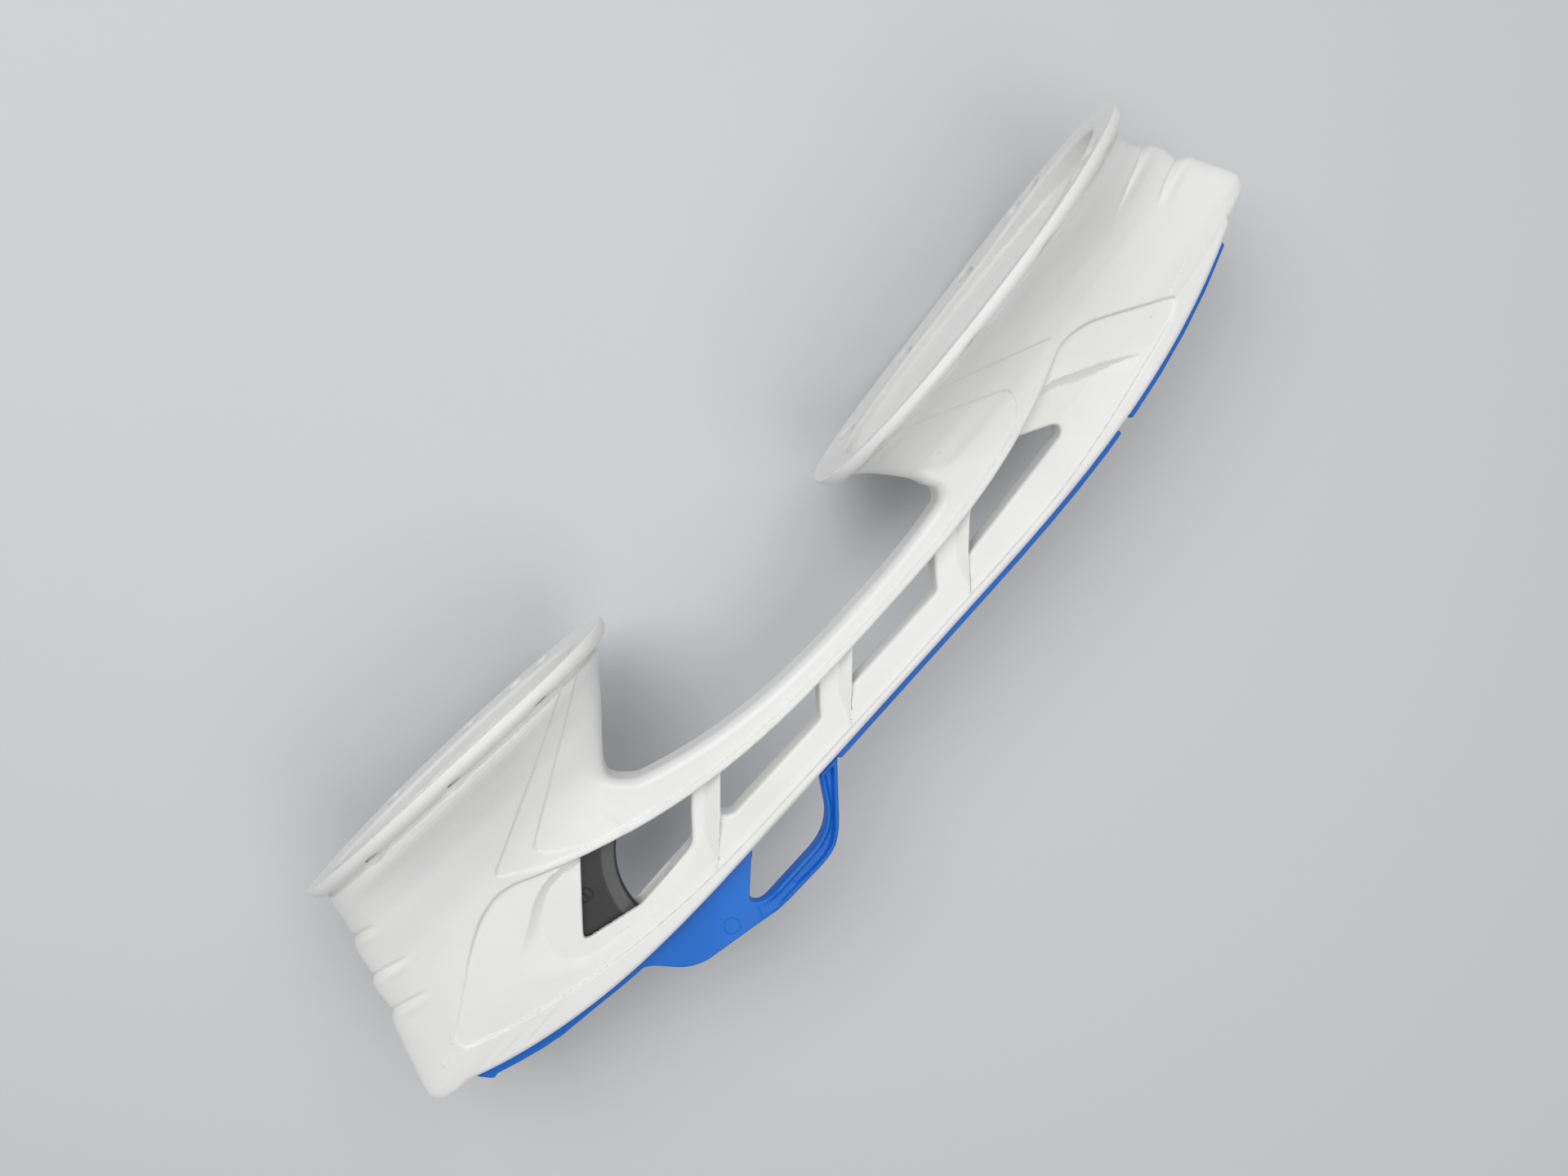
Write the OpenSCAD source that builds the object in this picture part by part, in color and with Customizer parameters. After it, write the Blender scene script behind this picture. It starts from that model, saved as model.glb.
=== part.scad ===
// Skate blade holder for one ice skate.
// One hollow white moulding carries a heel footplate, a toe footplate, a bridge,
// four windows and a slotted rail. A blue insert fills the blade slot and a
// sprung black trigger in the heel window lets the insert swing down.
// Sizes are millimetres. X runs to the toe, Y to the left side, Z up to the boot.
// The shapes are drawn from the middle of the slot mouth, on the lowest line of the
// rail. The finished part is placed with its origin at the middle of the toe
// footplate, level with the rim, where a boot's sole meets it.

/* [Footplates] */
// Length of the heel footplate
heel_plate_len = 90.5; // [84:0.5:96]
// Half width of the heel footplate
heel_plate_half = 25; // [23:0.5:27]
// Distance of the heel footplate centre behind the origin
heel_plate_back = 78; // [76:0.5:80]
// Height of the heel footplate at its centre
heel_plate_z = 66.4; // [65:0.2:68]
// Fall of the heel footplate toward the toe, degrees
heel_slope = 5.1; // [4:0.1:6]
// Length of the toe footplate
toe_plate_len = 110; // [104:0.5:114]
// Half width of the toe footplate
toe_plate_half = 30; // [28:0.5:32]
// Distance of the toe footplate centre ahead of the origin
toe_plate_ahead = 78; // [76:0.5:80]
// Height of the toe footplate at its centre
toe_plate_z = 49.8; // [49:0.2:51]
// Rise of the toe footplate toward the toe, degrees
toe_slope = 3.6; // [3:0.1:4.5]
// Thickness of a footplate at its lip
lip_t = 4.2; // [3.8:0.1:4.6]
// How far the lip tucks in at its foot
lip_tuck = 3.4; // [2.6:0.1:3.8]
// Width of the flat rim round the heel cavity
heel_rim = 9; // [8:0.5:10]
// Width of the flat rim round the toe cavity
toe_rim = 10.4; // [9:0.2:11]
// How far the rim dishes down to its inner edge
rim_dish = 0.9; // [0.4:0.1:1.2]

/* [Fixing holes] */
// Radius of a fixing hole
hole_r = 2.4; // [2:0.1:2.7]
// Spacing of the heel fixing holes
heel_pitch = 23.7; // [22:0.1:25]
// Middle of the heel row, ahead of the footplate's own middle
heel_row_mid = 2.2; // [0:0.1:3]
// Spacing of the toe fixing holes
toe_pitch = 24.8; // [22:0.1:25]
// Middle of the toe row, ahead of the footplate's own middle
toe_row_mid = -2.4; // [-3:0.1:0]
// Depth of the unused pilot dimples
dimple_t = 0.8; // [0.4:0.1:1.2]
// Radius of the unused pilot dimples
dimple_r = 2.1; // [1.6:0.1:2.4]

/* [Rail and bridge] */
// Half width of the rail
rail_half = 5.2; // [4.9:0.1:5.6]
// Half width of the bridge at its bead
bridge_half = 6; // [5.6:0.1:6.4]
// Half thickness of the web between the windows
web_half = 3.2; // [3:0.1:3.4]
// Half thickness of the web round the trigger
heel_web_half = 4.7; // [4.5:0.1:4.9]
// Height of the thick band at the foot of the rail
band_h = 3; // [2.6:0.1:3.6]
// Height of the bridge's lower edge at midlength
bridge_low = 15; // [14.6:0.1:15.6]
// Height of the bridge's top at midlength
bridge_top = 20.8; // [20.4:0.1:21.6]
// Rise of the rail at the heel end
heel_rise = 12.4; // [11.8:0.1:13]
// Rise of the rail at the toe end
toe_rise = 13.7; // [13.2:0.1:14.2]

/* [Blade slot] */
// Half width of the blade slot
slot_half = 1.75; // [1.75:0.05:1.9]
// Depth of the blade slot
slot_depth = 6; // [5.9:0.1:6.1]
// Half thickness of the insert
insert_half = 1.45; // [1.35:0.05:1.45]
// Height of the insert inside the slot
insert_up = 5.6; // [5.5:0.05:5.6]
// How far the insert shows below the rail
insert_down = 2.2; // [1.8:0.1:2.4]
// Half thickness of the finger loop
loop_half = 2.4; // [2:0.1:2.6]

/* [Trigger] */
// Distance of the trigger pin behind the origin
pin_back = 86; // [85.8:0.1:86.2]
// Height of the trigger pin
pin_z = 40; // [39.8:0.1:40.2]
// Radius of the trigger pin
pin_r = 1.5; // [1.3:0.05:1.6]
// Radial running clearance of the trigger on its pin
pin_play = 0.06; // [0.03:0.01:0.1]
// Half thickness of the trigger
trigger_half = 2.4; // [2.2:0.1:2.4]
// Half width of the pocket that the trigger swings in
pocket_half = 2.8; // [2.8:0.05:2.9]
// Radius of the trigger's boss
boss_r = 4.4; // [4:0.1:4.5]

/* [Spring] */
// Mean radius of the spring's turns
spring_r = 1.7; // [1.6:0.05:1.8]
// Radius of the spring's wire
wire_r = 0.28; // [0.24:0.02:0.3]
// Number of turns
turns = 6; // [5:1:7]
// Height of the spring's axis
spring_z = 14; // [13.8:0.1:14.2]

/* [Hidden] */
$fn = 48;

white = "white";
blue = [0.08, 0.36, 0.78];
black = [0.1, 0.1, 0.11];
steel = "silver";

// Places of the two footplates and of the pin along X.
heel_x = -heel_plate_back;
toe_x = toe_plate_ahead;
pin_x = -pin_back;
// Past this the cutting shapes clear the holder on both sides.
through = 40;
// Smallest overlap between shapes that join.
lap = 0.5;
// Height that cutting shapes stand out above a footplate.
clear_top = 2;
// Points round one ring of a loft.
ring_n = 44;

// Rocker of the rail: flat in the middle, a cubic sweep at both ends.
heel_flat = -45;
heel_ref = -130.3;
toe_flat = 25;
toe_ref = 126.8;
function cubed(v) = v * v * v;
function rail_low(x) =
    x < heel_flat ? heel_rise * cubed((heel_flat - x) / (heel_flat - heel_ref)) :
    x > toe_flat ? toe_rise * cubed((x - toe_flat) / (toe_ref - toe_flat)) : 0;

// Lower and upper edges of the bridge.
bridge_from = 5;
bridge_reach = 80;
bridge_sag = 13.9;
toe_from = 10;
toe_reach = 72.9;
toe_sag = 11.6;
toe_power = 3;
saddle_from = 10;
saddle_reach = 63.8;
saddle_sag = 10.2;
sag_power = 2.6;
toe_saddle_sag = 14;
// The bridge's top sweeps up into the toe tower past this place.
sweep_from = 36;
sweep_rise = 0.55;
function bridge_under(x) = bridge_low +
    (x < bridge_from ? bridge_sag * pow((bridge_from - x) / bridge_reach, sag_power) :
     x > toe_from ? toe_sag * pow((x - toe_from) / toe_reach, toe_power) : 0);
function saddle(x) = bridge_top +
    (x < saddle_from ? saddle_sag * pow((saddle_from - x) / saddle_reach, sag_power)
                     : toe_saddle_sag * pow((x - saddle_from) / saddle_reach, sag_power)
                       + sweep_rise * max(0, x - sweep_from));
// The band grows taller toward the heel.
band_grow = 3;
band_grow_from = -70;
band_grow_over = 50;
function band(x) = band_h + band_grow * min(1, max(0, (band_grow_from - x) / band_grow_over));

// Corner list [x, z, cut length] to an outline with every corner rounded.
corner_n = 5;
function unit(v) = v / norm(v);
function bend(a, p, c, cut, s) =
    let (e = min(cut, 0.49 * norm(a - p)), g = min(cut, 0.49 * norm(c - p)),
         q0 = p + unit(a - p) * e, q1 = p + unit(c - p) * g)
    (1 - s) * (1 - s) * q0 + 2 * s * (1 - s) * p + s * s * q1;
function rounded(list) = let (n = len(list)) [
    for (i = [0 : n - 1])
        let (b = list[(i + n - 1) % n], p = list[i], c = list[(i + 1) % n])
        for (k = [0 : (p[2] > 0 ? corner_n : 0)])
            bend([b[0], b[1]], [p[0], p[1]], [c[0], c[1]], p[2], k / corner_n)];

// Upright slab across Y from an outline in X and Z.
module slab(outline, half) {
    rotate([90, 0, 0]) translate([0, 0, -half]) linear_extrude(2 * half) polygon(outline);
}

// Closed solid through a list of rings with the same number of points.
module loft(rings) {
    n = len(rings[0]);
    m = len(rings);
    polyhedron(
        points = [for (r = rings) for (p = r) p],
        faces = concat(
            [[for (i = [0 : n - 1]) i]],
            [for (j = [0 : m - 2]) for (i = [0 : n - 1])
                let (a = j * n + i, b = j * n + (i + 1) % n) [a, b + n, b]],
            [for (j = [0 : m - 2]) for (i = [0 : n - 1])
                let (a = j * n + i, b = j * n + (i + 1) % n) [a, a + n, b + n]],
            [[for (i = [n - 1 : -1 : 0]) (m - 1) * n + i]]));
}

// Oval from a rear point to a front point, each [x, z]. The powers square the ends.
function power_of(c, p) = sign(c) * pow(abs(c), 2 / p);
function oval(rear, front, half, rear_p, front_p) =
    let (mid = (rear[0] + front[0]) / 2, a = (front[0] - rear[0]) / 2,
         tilt = (front[1] - rear[1]) / (front[0] - rear[0]))
    [for (i = [0 : ring_n - 1])
        let (t = 360 * i / ring_n, p = cos(t) < 0 ? rear_p : front_p,
             x = mid + a * power_of(cos(t), p), y = half * power_of(sin(t), p))
        [x, y, rear[1] + (x - rear[0]) * tilt]];

// Half width of a footplate outline at x from its centre, drawn in by an inset.
heel_rear_p = 1.9;
heel_front_p = 2.5;
toe_rear_p = 2.5;
toe_front_p = 2.1;
function plate_y(x, len, half, inset, rear_p, front_p) =
    let (p = x < 0 ? rear_p : front_p)
    (half - inset) * pow(1 - pow(abs(x) / (len / 2 - inset), p), 1 / p);

// Footplate with a rounded lip, in its own frame: the rim is at z = 0.
module plate(len, half, rim, rear_p, front_p) {
    lip = [[lip_tuck, -lip_t], [0.55 * lip_tuck, -0.86 * lip_t], [0.24 * lip_tuck, -0.62 * lip_t],
           [0.06 * lip_tuck, -0.32 * lip_t], [0, -0.1 * lip_t], [0.35, 0], [rim, -rim_dish]];
    loft([for (s = lip) oval([s[0] - len / 2, s[1]], [len / 2 - s[0], s[1]],
                             half - s[0], rear_p, front_p)]);
}

// Cavity that opens through a footplate, in the plate's frame.
module cavity(len, rim, steps, rear_p, front_p) {
    loft([for (s = steps) oval([s[0] + rim - len / 2, s[1]], [len / 2 - rim - s[0], s[1]],
                               s[2], rear_p, front_p)]);
}

// Towers: rings from the foot up, each row is rear [x, z], front [x, z], half width
// and the two end powers. The saw steps of the end ridges sit in the ring ends.
heel_rows = [
    [[-138.4, 13.2], [-118, 12.2], 4.9, 3.2, 2],
    [[-141.6, 15], [-112, 13.6], 5.3, 3.2, 2],
    [[-142.6, 17.6], [-105, 15.6], 5.6, 3.2, 3],
    [[-139.6, 24.6], [-78, 22], 6, 3.4, 4],
    [[-134.1, 35], [-57.5, 30.5], 6.5, 3.4, 5],
    [[-131.7, 38], [-57.3, 34.5], 6.9, 3.3, 5],
    [[-130.2, 43.2], [-56.2, 38.6], 7.9, 3.2, 4.5],
    [[-127.9, 46.6], [-53.6, 42], 9, 3, 4],
    [[-125.6, 52.4], [-48.6, 46.9], 11.5, 2.7, 3.6],
    [[-123.5, 55.4], [-45.6, 49.8], 13.2, 2.5, 3.3],
    [[-121.6, 60.4], [-41.4, 54.2], 17.2, 2.2, 2.9],
    [[-120.4, 64.2], [-38, 57.6], 20.8, 2, 2.6],
    [[-120, 67.4], [-37, 60.8], 21.8, 1.9, 2.5]];
toe_rows = [
    [[118, 13.4], [138.4, 17.2], 4.9, 2, 3.2],
    [[112, 14.6], [141.2, 19.6], 5.3, 2, 3.2],
    [[100, 16.4], [141.4, 21.6], 5.7, 3, 3.2],
    [[42.5, 20.4], [138.9, 27], 6.3, 4, 3.4],
    [[41.4, 25], [135.3, 32.7], 7.1, 4, 3.4],
    [[40.2, 27.2], [133.1, 34.8], 7.9, 4, 3.3],
    [[37.5, 31.2], [132.7, 37.6], 9.4, 3.6, 3],
    [[33.6, 36.2], [130.4, 41.4], 13.2, 3.2, 2.7],
    [[31.4, 38.8], [128.4, 43.4], 16.6, 2.9, 2.4],
    [[28.6, 41.8], [126.8, 47.4], 22.6, 2.6, 2.2],
    [[28, 44.8], [126.2, 50.2], 25.4, 2.5, 2.1]];
module tower(rows) {
    loft([for (r = rows) oval(r[0], r[1], r[2], r[3], r[4])]);
}
// Steps of the two hollows: how far in from the rim at both ends, depth, half width.
heel_hollow = [[11, -18.4, 6], [4.5, -14, 8.4], [2.5, -8.6, 13], [0, -3.2, 16], [0, clear_top, 16]];
toe_hollow = [[14, -19, 4.2], [9, -14, 6], [5, -9.4, 9.8], [2.5, -6.4, 15], [0, -3.4, 19.6],
              [0, clear_top, 19.6]];

// Places a shape in the frame of a footplate.
module on_heel() { translate([heel_x, 0, heel_plate_z]) rotate([0, heel_slope, 0]) children(); }
module on_toe() { translate([toe_x, 0, toe_plate_z]) rotate([0, -toe_slope, 0]) children(); }

// Band of the rail, one section every rail_step along X.
rail_step = 12;
rail_rear = -133;
rail_front = 131;
rail_foot = 3.6;
foot_bevel = 0.8;
foot_round = 2;
band_round = 0.5;
band_top = 4;
function rail_ring(x) = let (z = rail_low(x), h = band(x))
    [for (q = [[rail_foot, 0], [rail_half - band_round, foot_bevel], [rail_half, foot_round],
               [rail_half, h - band_round], [rail_half - band_round, h],
               [web_half, h + band_top], [web_half - 2 * lap, h + band_top + lap]])
        [x, q[0], z + q[1]]];
function mirrored(half_ring) = concat(half_ring,
    [for (i = [len(half_ring) - 1 : -1 : 0]) [half_ring[i][0], -half_ring[i][1], half_ring[i][2]]]);
module rail() {
    n = round((rail_front - rail_rear) / rail_step);
    loft([for (i = [0 : n]) mirrored(rail_ring(rail_rear + (rail_front - rail_rear) * i / n))]);
}

// Bridge with a bead along its lower edge.
bead_h = 2.3;
bead_out = 0.4;
bead_round = 0.5;
bridge_rear = -72;
bridge_front = 60;
bridge_most = 10;
top_flat = 3;
top_round = 2;
function bridge_ring(x) =
    let (low = bridge_under(x), high = min(saddle(x), low + bridge_most))
    [for (q = [[bridge_half - 2 * bead_round, low], [bridge_half, low + bead_round],
               [bridge_half, low + bead_h - bead_round],
               [bridge_half - bead_out, low + bead_h], [bridge_half - bead_out, high - top_round],
               [bridge_half - 0.4 * top_flat, high - 0.35 * top_round], [bridge_half - top_flat, high]])
        [x, q[0], q[1]]];
module bridge() {
    n = round((bridge_front - bridge_rear) / rail_step) * 2;
    loft([for (i = [0 : n]) mirrored(bridge_ring(bridge_rear + (bridge_front - bridge_rear) * i / n))]);
}

// Recessed panel that runs under the bridge from the heel tower to the toe tower.
panel_rear = -90;
panel_front = 78;
panel_n = 14;
panel_tip = -127.5;
panel_foot_rear = -118;
panel_foot_len = 222;
function panel_at(i) = panel_rear + (panel_front - panel_rear) * i / panel_n;
function panel(grow) = concat(
    rounded([[panel_tip - grow, 19.5, 3], [panel_tip + 1 - grow, 22.6, 3],
             [-104 - 0.4 * grow, 36.4 + grow, 9], [-95, 38.4 + grow, 5]]),
    [for (i = [0 : panel_n]) [panel_at(i), bridge_under(panel_at(i)) + grow]],
    rounded([[84 - 0.4 * grow, 26.6 + grow, 3], [91 + 0.4 * grow, 25.2 + grow, 5],
             [110.5 + grow, 13.4, 3]]),
    [for (i = [panel_n : -1 : 0]) let (x = panel_foot_rear + panel_foot_len * i / panel_n)
        [x, rail_low(x) + band(x) - grow]]);

// Web behind the panel: thick at the towers, thin between the windows.
web_plan = [[-128, rail_half], [-94, heel_web_half], [-76, heel_web_half], [-50, web_half],
            [74, web_half], [114, rail_half]];
module web() {
    intersection() {
        slab(panel(1.2), through);
        linear_extrude(through + lap) polygon(concat(web_plan,
            [for (i = [len(web_plan) - 1 : -1 : 0]) [web_plan[i][0], -web_plan[i][1]]]));
    }
}

// Windows. Their tops run up into the bridge, which closes them.
windows = [
    [[-90.9, 15.3, 2.5], [-76.4, 29.4, 0], [-74, 34, 0], [-56, 28, 0], [-49.3, 19.9, 0],
     [-58.6, 10.6, 2.5], [-76.6, 11, 0]],
    [[-48.9, 11, 1.2], [-41, 18, 0], [-41, 22, 0], [-10, 18, 0], [-10.4, 15.4, 0],
     [-16.8, 8.6, 0.8], [-47.2, 8.9, 1.6]],
    [[-5.6, 8.4, 2], [1.6, 14.8, 0.8], [2, 17, 0], [29.6, 17, 0], [29.2, 15, 0], [23.4, 8.4, 0.8]],
    [[34.4, 8.6, 1.2], [41.6, 15, 1.5], [46.5, 16.9, 0], [48, 20, 0], [61, 22, 0], [61.4, 18.9, 2],
     [70.9, 13.6, 2], [69.6, 11.2, 2]]];
// Raised rib on each strut between two windows.
rib_out = 0.8;
rib_w = 5.2;
ribs = [[[-62, 5], [-44, 20]], [[-21.5, 5], [-5, 17]], [[18.5, 5], [38, 19]]];
module ribs_on_struts() {
    for (r = ribs) slab([r[0], r[0] + [rib_w, 0], r[1] + [rib_w, 0], r[1]], web_half + rib_out);
}

// Blade slot along the whole rail, and the pocket for the insert's front hook.
slot_rear = -134;
slot_front = 129.6;
hook_x = 112.6;
hook_reach = 6.2;
hook_back = 14;
hook_play = 0.4;
slot_n = 20;
slot_over = 5;
function rail_line(from, to, n, up) =
    [for (i = [0 : n]) let (x = from + (to - from) * i / n) [x, rail_low(x) + up]];
module slot_cut() {
    slab(concat(rail_line(slot_front, slot_rear, slot_n, slot_depth),
                rail_line(slot_rear, slot_front, slot_n, -slot_over)), slot_half);
    slab([[hook_x - hook_back, 8], [hook_x, 8], [hook_x, 17 - hook_play],
          [hook_x + hook_reach, 17 - hook_play], [hook_x + hook_reach, 20.6],
          [hook_x - hook_back, 20.6]], slot_half);
}

// Pocket that the trigger swings in, from the rail up into the heel tower.
module pocket_cut() {
    slab([[-104, -3], [-66, -3], [-66, 31.5], [-78, 45], [-92, 45], [-96, 38], [-101.5, 26],
          [-106, 20], [-106, 10], [-104, 8]], pocket_half);
}

// Fixing holes: a row on each side of each footplate, along the middle of the rim.
heel_holes = [for (step = [-1, 0, 1]) heel_row_mid + step * heel_pitch];
toe_holes = [for (step = [-1.5, -0.5, 0.5, 1.5]) toe_row_mid + step * toe_pitch];
heel_dimple = 17.2;
toe_dimple = 28.6;
module heel_hole_places(list) {
    for (x = list) for (side = [-1, 1])
        translate([x, side * plate_y(x, heel_plate_len, heel_plate_half, heel_rim / 2,
                                     heel_rear_p, heel_front_p), 0]) children();
}
module toe_hole_places(list) {
    for (x = list) for (side = [-1, 1])
        translate([x, side * plate_y(x, toe_plate_len, toe_plate_half, toe_rim / 2,
                                     toe_rear_p, toe_front_p), 0]) children();
}
hole_drop = 12;
module fixing_hole() { translate([0, 0, -hole_drop]) cylinder(h = hole_drop + clear_top, r = hole_r); }
module dimple() {
    translate([0, 0, -rim_dish / 2 - dimple_t]) cylinder(h = dimple_t + clear_top, r = dimple_r);
}

// Pin: pressed in from the left, so the right side of the tower stays whole.
pin_near = -5;
pin_far = 6.4;
pin_bore_out = 12;

module holder() {
    color(white) difference() {
        union() {
            difference() {
                union() {
                    tower(heel_rows);
                    tower(toe_rows);
                    bridge();
                }
                slab(panel(0), through);
            }
            difference() {
                web();
                for (w = windows) slab(rounded(w), through);
            }
            ribs_on_struts();
            rail();
            on_heel() plate(heel_plate_len, heel_plate_half, heel_rim, heel_rear_p, heel_front_p);
            on_toe() plate(toe_plate_len, toe_plate_half, toe_rim, toe_rear_p, toe_front_p);
        }
        on_heel() cavity(heel_plate_len, heel_rim, heel_hollow, heel_rear_p, heel_front_p);
        on_toe() cavity(toe_plate_len, toe_rim, toe_hollow, toe_rear_p, toe_front_p);
        on_heel() heel_hole_places(heel_holes) fixing_hole();
        on_toe() toe_hole_places(toe_holes) fixing_hole();
        on_heel() heel_hole_places([heel_dimple]) dimple();
        on_toe() toe_hole_places([toe_dimple]) dimple();
        slot_cut();
        pocket_cut();
        translate([pin_x, pin_bore_out, pin_z]) rotate([90, 0, 0])
            cylinder(h = pin_bore_out - pin_near, r = pin_r);
    }
}

// Insert: a strip in the slot with a hook, a tang, a tab and a finger loop.
tab_outline = [[-89.5, 2.5, 1], [-87.4, -1.2, 2], [-82.4, -8.4, 2.5], [-78.4, -10.9, 2],
               [-58.1, -15.5, 0], [-50, -15.5, 0], [-50, 0.8, 0]];
loop_hole = [[-50.2, -0.4, 0.6], [-60.6, -9, 1.8], [-58.2, -11.7, 1.8], [-44, -11.9, 0],
             [-44, 2, 0], [-49.6, 2, 0]];
bar_outer = [[-62, -14.4, 0], [-57.5, -15.7, 2], [-38.6, -16.3, 5], [-33.6, -13.4, 3], [-20.6, -0.6, 0]];
bar_inner = [[-60, -11, 0], [-56, -11.6, 0], [-38.6, -11.8, 4], [-33, -9, 3], [-26.8, -0.6, 0]];
bar_root = [[-27.2, -1.4], [-20.8, -1.4], [-18.4, 1], [-25.6, 1]];
groove_edge = 0.3;
groove_t = 0.6;
insert_rear = -132.4;
insert_front = 128.2;
trough_rear = -104.8;
tab_front = -52;
bar_front = -20.6;
strip_lap = 0.2;
tang_x = -66.6;
nose = 3.6;
nose_z = 4;
notch_from = 80.1;
notch_to = 84.5;
mark_x = -67.6;
mark_z = -9.4;
mark_r = 2.05;
mark_t = 0.2;
strip_thin = 0.8;
function mixed(a, b, s) = [for (i = [0 : len(a) - 1]) a[i] * (1 - s) + b[i] * s];
function turned(list) = [for (i = [len(list) - 1 : -1 : 0]) list[i]];
function bar_strip(edge) = rounded(concat(mixed(bar_outer, bar_inner, edge),
                                          turned(mixed(bar_outer, bar_inner, 1 - edge))));
// Round ejector mark, a shallow ring on the right side.
module ring_mark(x, z, r, half) {
    translate([x, -half, z]) rotate([90, 0, 0]) difference() {
        cylinder(h = 2 * mark_t, r = r, center = true);
        cylinder(h = 3 * mark_t, r = r - 0.3, center = true);
    }
}
module slot_insert() {
    color(blue) difference() {
        union() {
            slab(concat(rail_line(insert_front, tang_x, 16, insert_up),
                        [[tang_x - nose, insert_up], [tang_x - nose, nose_z], [tang_x, nose_z]],
                        rail_line(tang_x, trough_rear, 5, strip_thin),
                        rail_line(trough_rear, insert_rear, 4, insert_up),
                        rail_line(insert_rear, tab_front, 12, -insert_down),
                        [[tab_front + 2.4, strip_lap], [bar_front - 1.6, strip_lap]],
                        rail_line(bar_front, insert_front, 14, -insert_down)), insert_half);
            slab([[hook_x - hook_back / 2, 10], [hook_x - hook_play, 10], [hook_x - hook_play, 17],
                  [hook_x + hook_reach - 2 * hook_play, 17], [hook_x + hook_reach - 2 * hook_play, 20],
                  [hook_x - hook_back / 2, 20]], insert_half);
            difference() {
                slab(rounded(tab_outline), insert_half);
                slab(rounded(loop_hole), through);
            }
            slab(bar_strip(0), loop_half);
            slab(bar_root, insert_half);
        }
        for (side = [-1, 1]) translate([0, side * loop_half, 0]) slab(bar_strip(groove_edge), groove_t);
        slab(rounded([[notch_from, -3, 0], [notch_to, -3, 0], [notch_to, 3.8, 1.2], [notch_from, 3.8, 0]]),
             through);
        ring_mark(mark_x, mark_z, mark_r, insert_half);
    }
}

// Trigger: a boss on the pin, a flat body, a hollow finger face with bevelled
// edges on an arc, and a hook that holds the insert's tang.
face_x = -58;
face_z = 8.2;
face_r = 19.8;
face_from = 180;
face_to = 118;
face_n = 10;
bevel_in = 2.4;
bevel_side = 1.3;
face_t = 4;
function on_face(a, r) = [face_x + r * cos(a), face_z + r * sin(a)];
function face_arc(r) = [for (i = [0 : face_n])
    let (p = on_face(face_from + (face_to - face_from) * i / face_n, r)) [p[0], p[1], 0]];
function face_ring(a) = mirrored([for (q = [[trigger_half - 0.2, face_t], [trigger_half, face_t - 0.4],
                                            [trigger_half, bevel_in], [trigger_half - bevel_side, 0]])
    let (p = on_face(a, face_r + q[1])) [p[0], q[0], p[1]]]);
hook_tip = -68.4;
hook_top = 3.5;
hook_low = 1.9;
side_mark_x = -83.3;
side_mark_z = 21.6;
side_mark_r = 1.7;
trigger_back = [[-66.9, 29.6, 1.5], [-80.6, 43.4, 4], [-91.2, 41.5, 4], [-93.4, 24, 3],
                [-95, 12.5, 2], [-93.5, 5.4, 1.2], [-84, 3.2, 1]];
hook_outline = [[hook_tip, hook_low, 0.4], [hook_tip, hook_top, 0.4], [-77.4, hook_top, 0.6],
                [face_x - face_r, face_z, 0]];
module release_trigger() {
    color(black) difference() {
        union() {
            translate([pin_x, 0, pin_z]) rotate([90, 0, 0])
                cylinder(h = 2 * trigger_half, r = boss_r, center = true);
            slab(rounded(concat(face_arc(face_r + bevel_in), trigger_back, hook_outline)), trigger_half);
            loft([for (i = [0 : face_n]) face_ring(face_to + (face_from - face_to) * i / face_n)]);
        }
        translate([pin_x, 0, pin_z]) rotate([90, 0, 0])
            cylinder(h = through, r = pin_r + pin_play, center = true);
        ring_mark(side_mark_x, side_mark_z, side_mark_r, trigger_half);
    }
}

module trigger_pin() {
    color(steel) translate([pin_x, pin_far, pin_z]) rotate([90, 0, 0])
        cylinder(h = pin_far - pin_near, r = pin_r);
}

// Return spring: one wire wound along X between the pocket's end and the trigger.
spring_from = -105.7;
spring_to = -95.5;
spring_n = 8;
wire_n = 6;
spring_steps = turns * spring_n;
function coil(i) = let (a = 360 * i / spring_n)
    [spring_from + wire_r + (spring_to - spring_from - 2 * wire_r) * i / spring_steps,
     spring_r * cos(a), spring_z + spring_r * sin(a)];
coil_points = [for (i = [0 : spring_steps]) coil(i)];
coil_path = concat([2 * coil_points[0] - coil_points[1]], coil_points,
                   [2 * coil_points[spring_steps] - coil_points[spring_steps - 1]]);
function coil_ring(i) =
    let (n = len(coil_path), p = coil_path[i],
         t = unit(coil_path[min(n - 1, i + 1)] - coil_path[max(0, i - 1)]),
         out = unit(cross(t, cross([0, p[1], p[2] - spring_z], t))), up = cross(t, out))
    [for (k = [0 : wire_n - 1]) let (a = 360 * k / wire_n) p + wire_r * (cos(a) * out + sin(a) * up)];
coil_gap = min([for (i = [0 : spring_steps]) for (j = [i + spring_n / 2 : 1 : spring_steps])
                norm(coil_points[i] - coil_points[j])]) - 2 * wire_r;
echo(least_spring_gap_mm = coil_gap);
module return_spring() {
    color(steel) loft([for (i = [0 : len(coil_path) - 1]) coil_ring(i)]);
}

// Moves a piece from the slot mouth's frame to the part's own frame.
module placed() { translate([-toe_x, 0, -toe_plate_z]) children(); }

placed() holder();
placed() slot_insert();
placed() release_trigger();
placed() trigger_pin();
placed() return_spring();
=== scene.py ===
import math
import bmesh
import bpy
import numpy as np
from mathutils import Matrix, Vector


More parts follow.
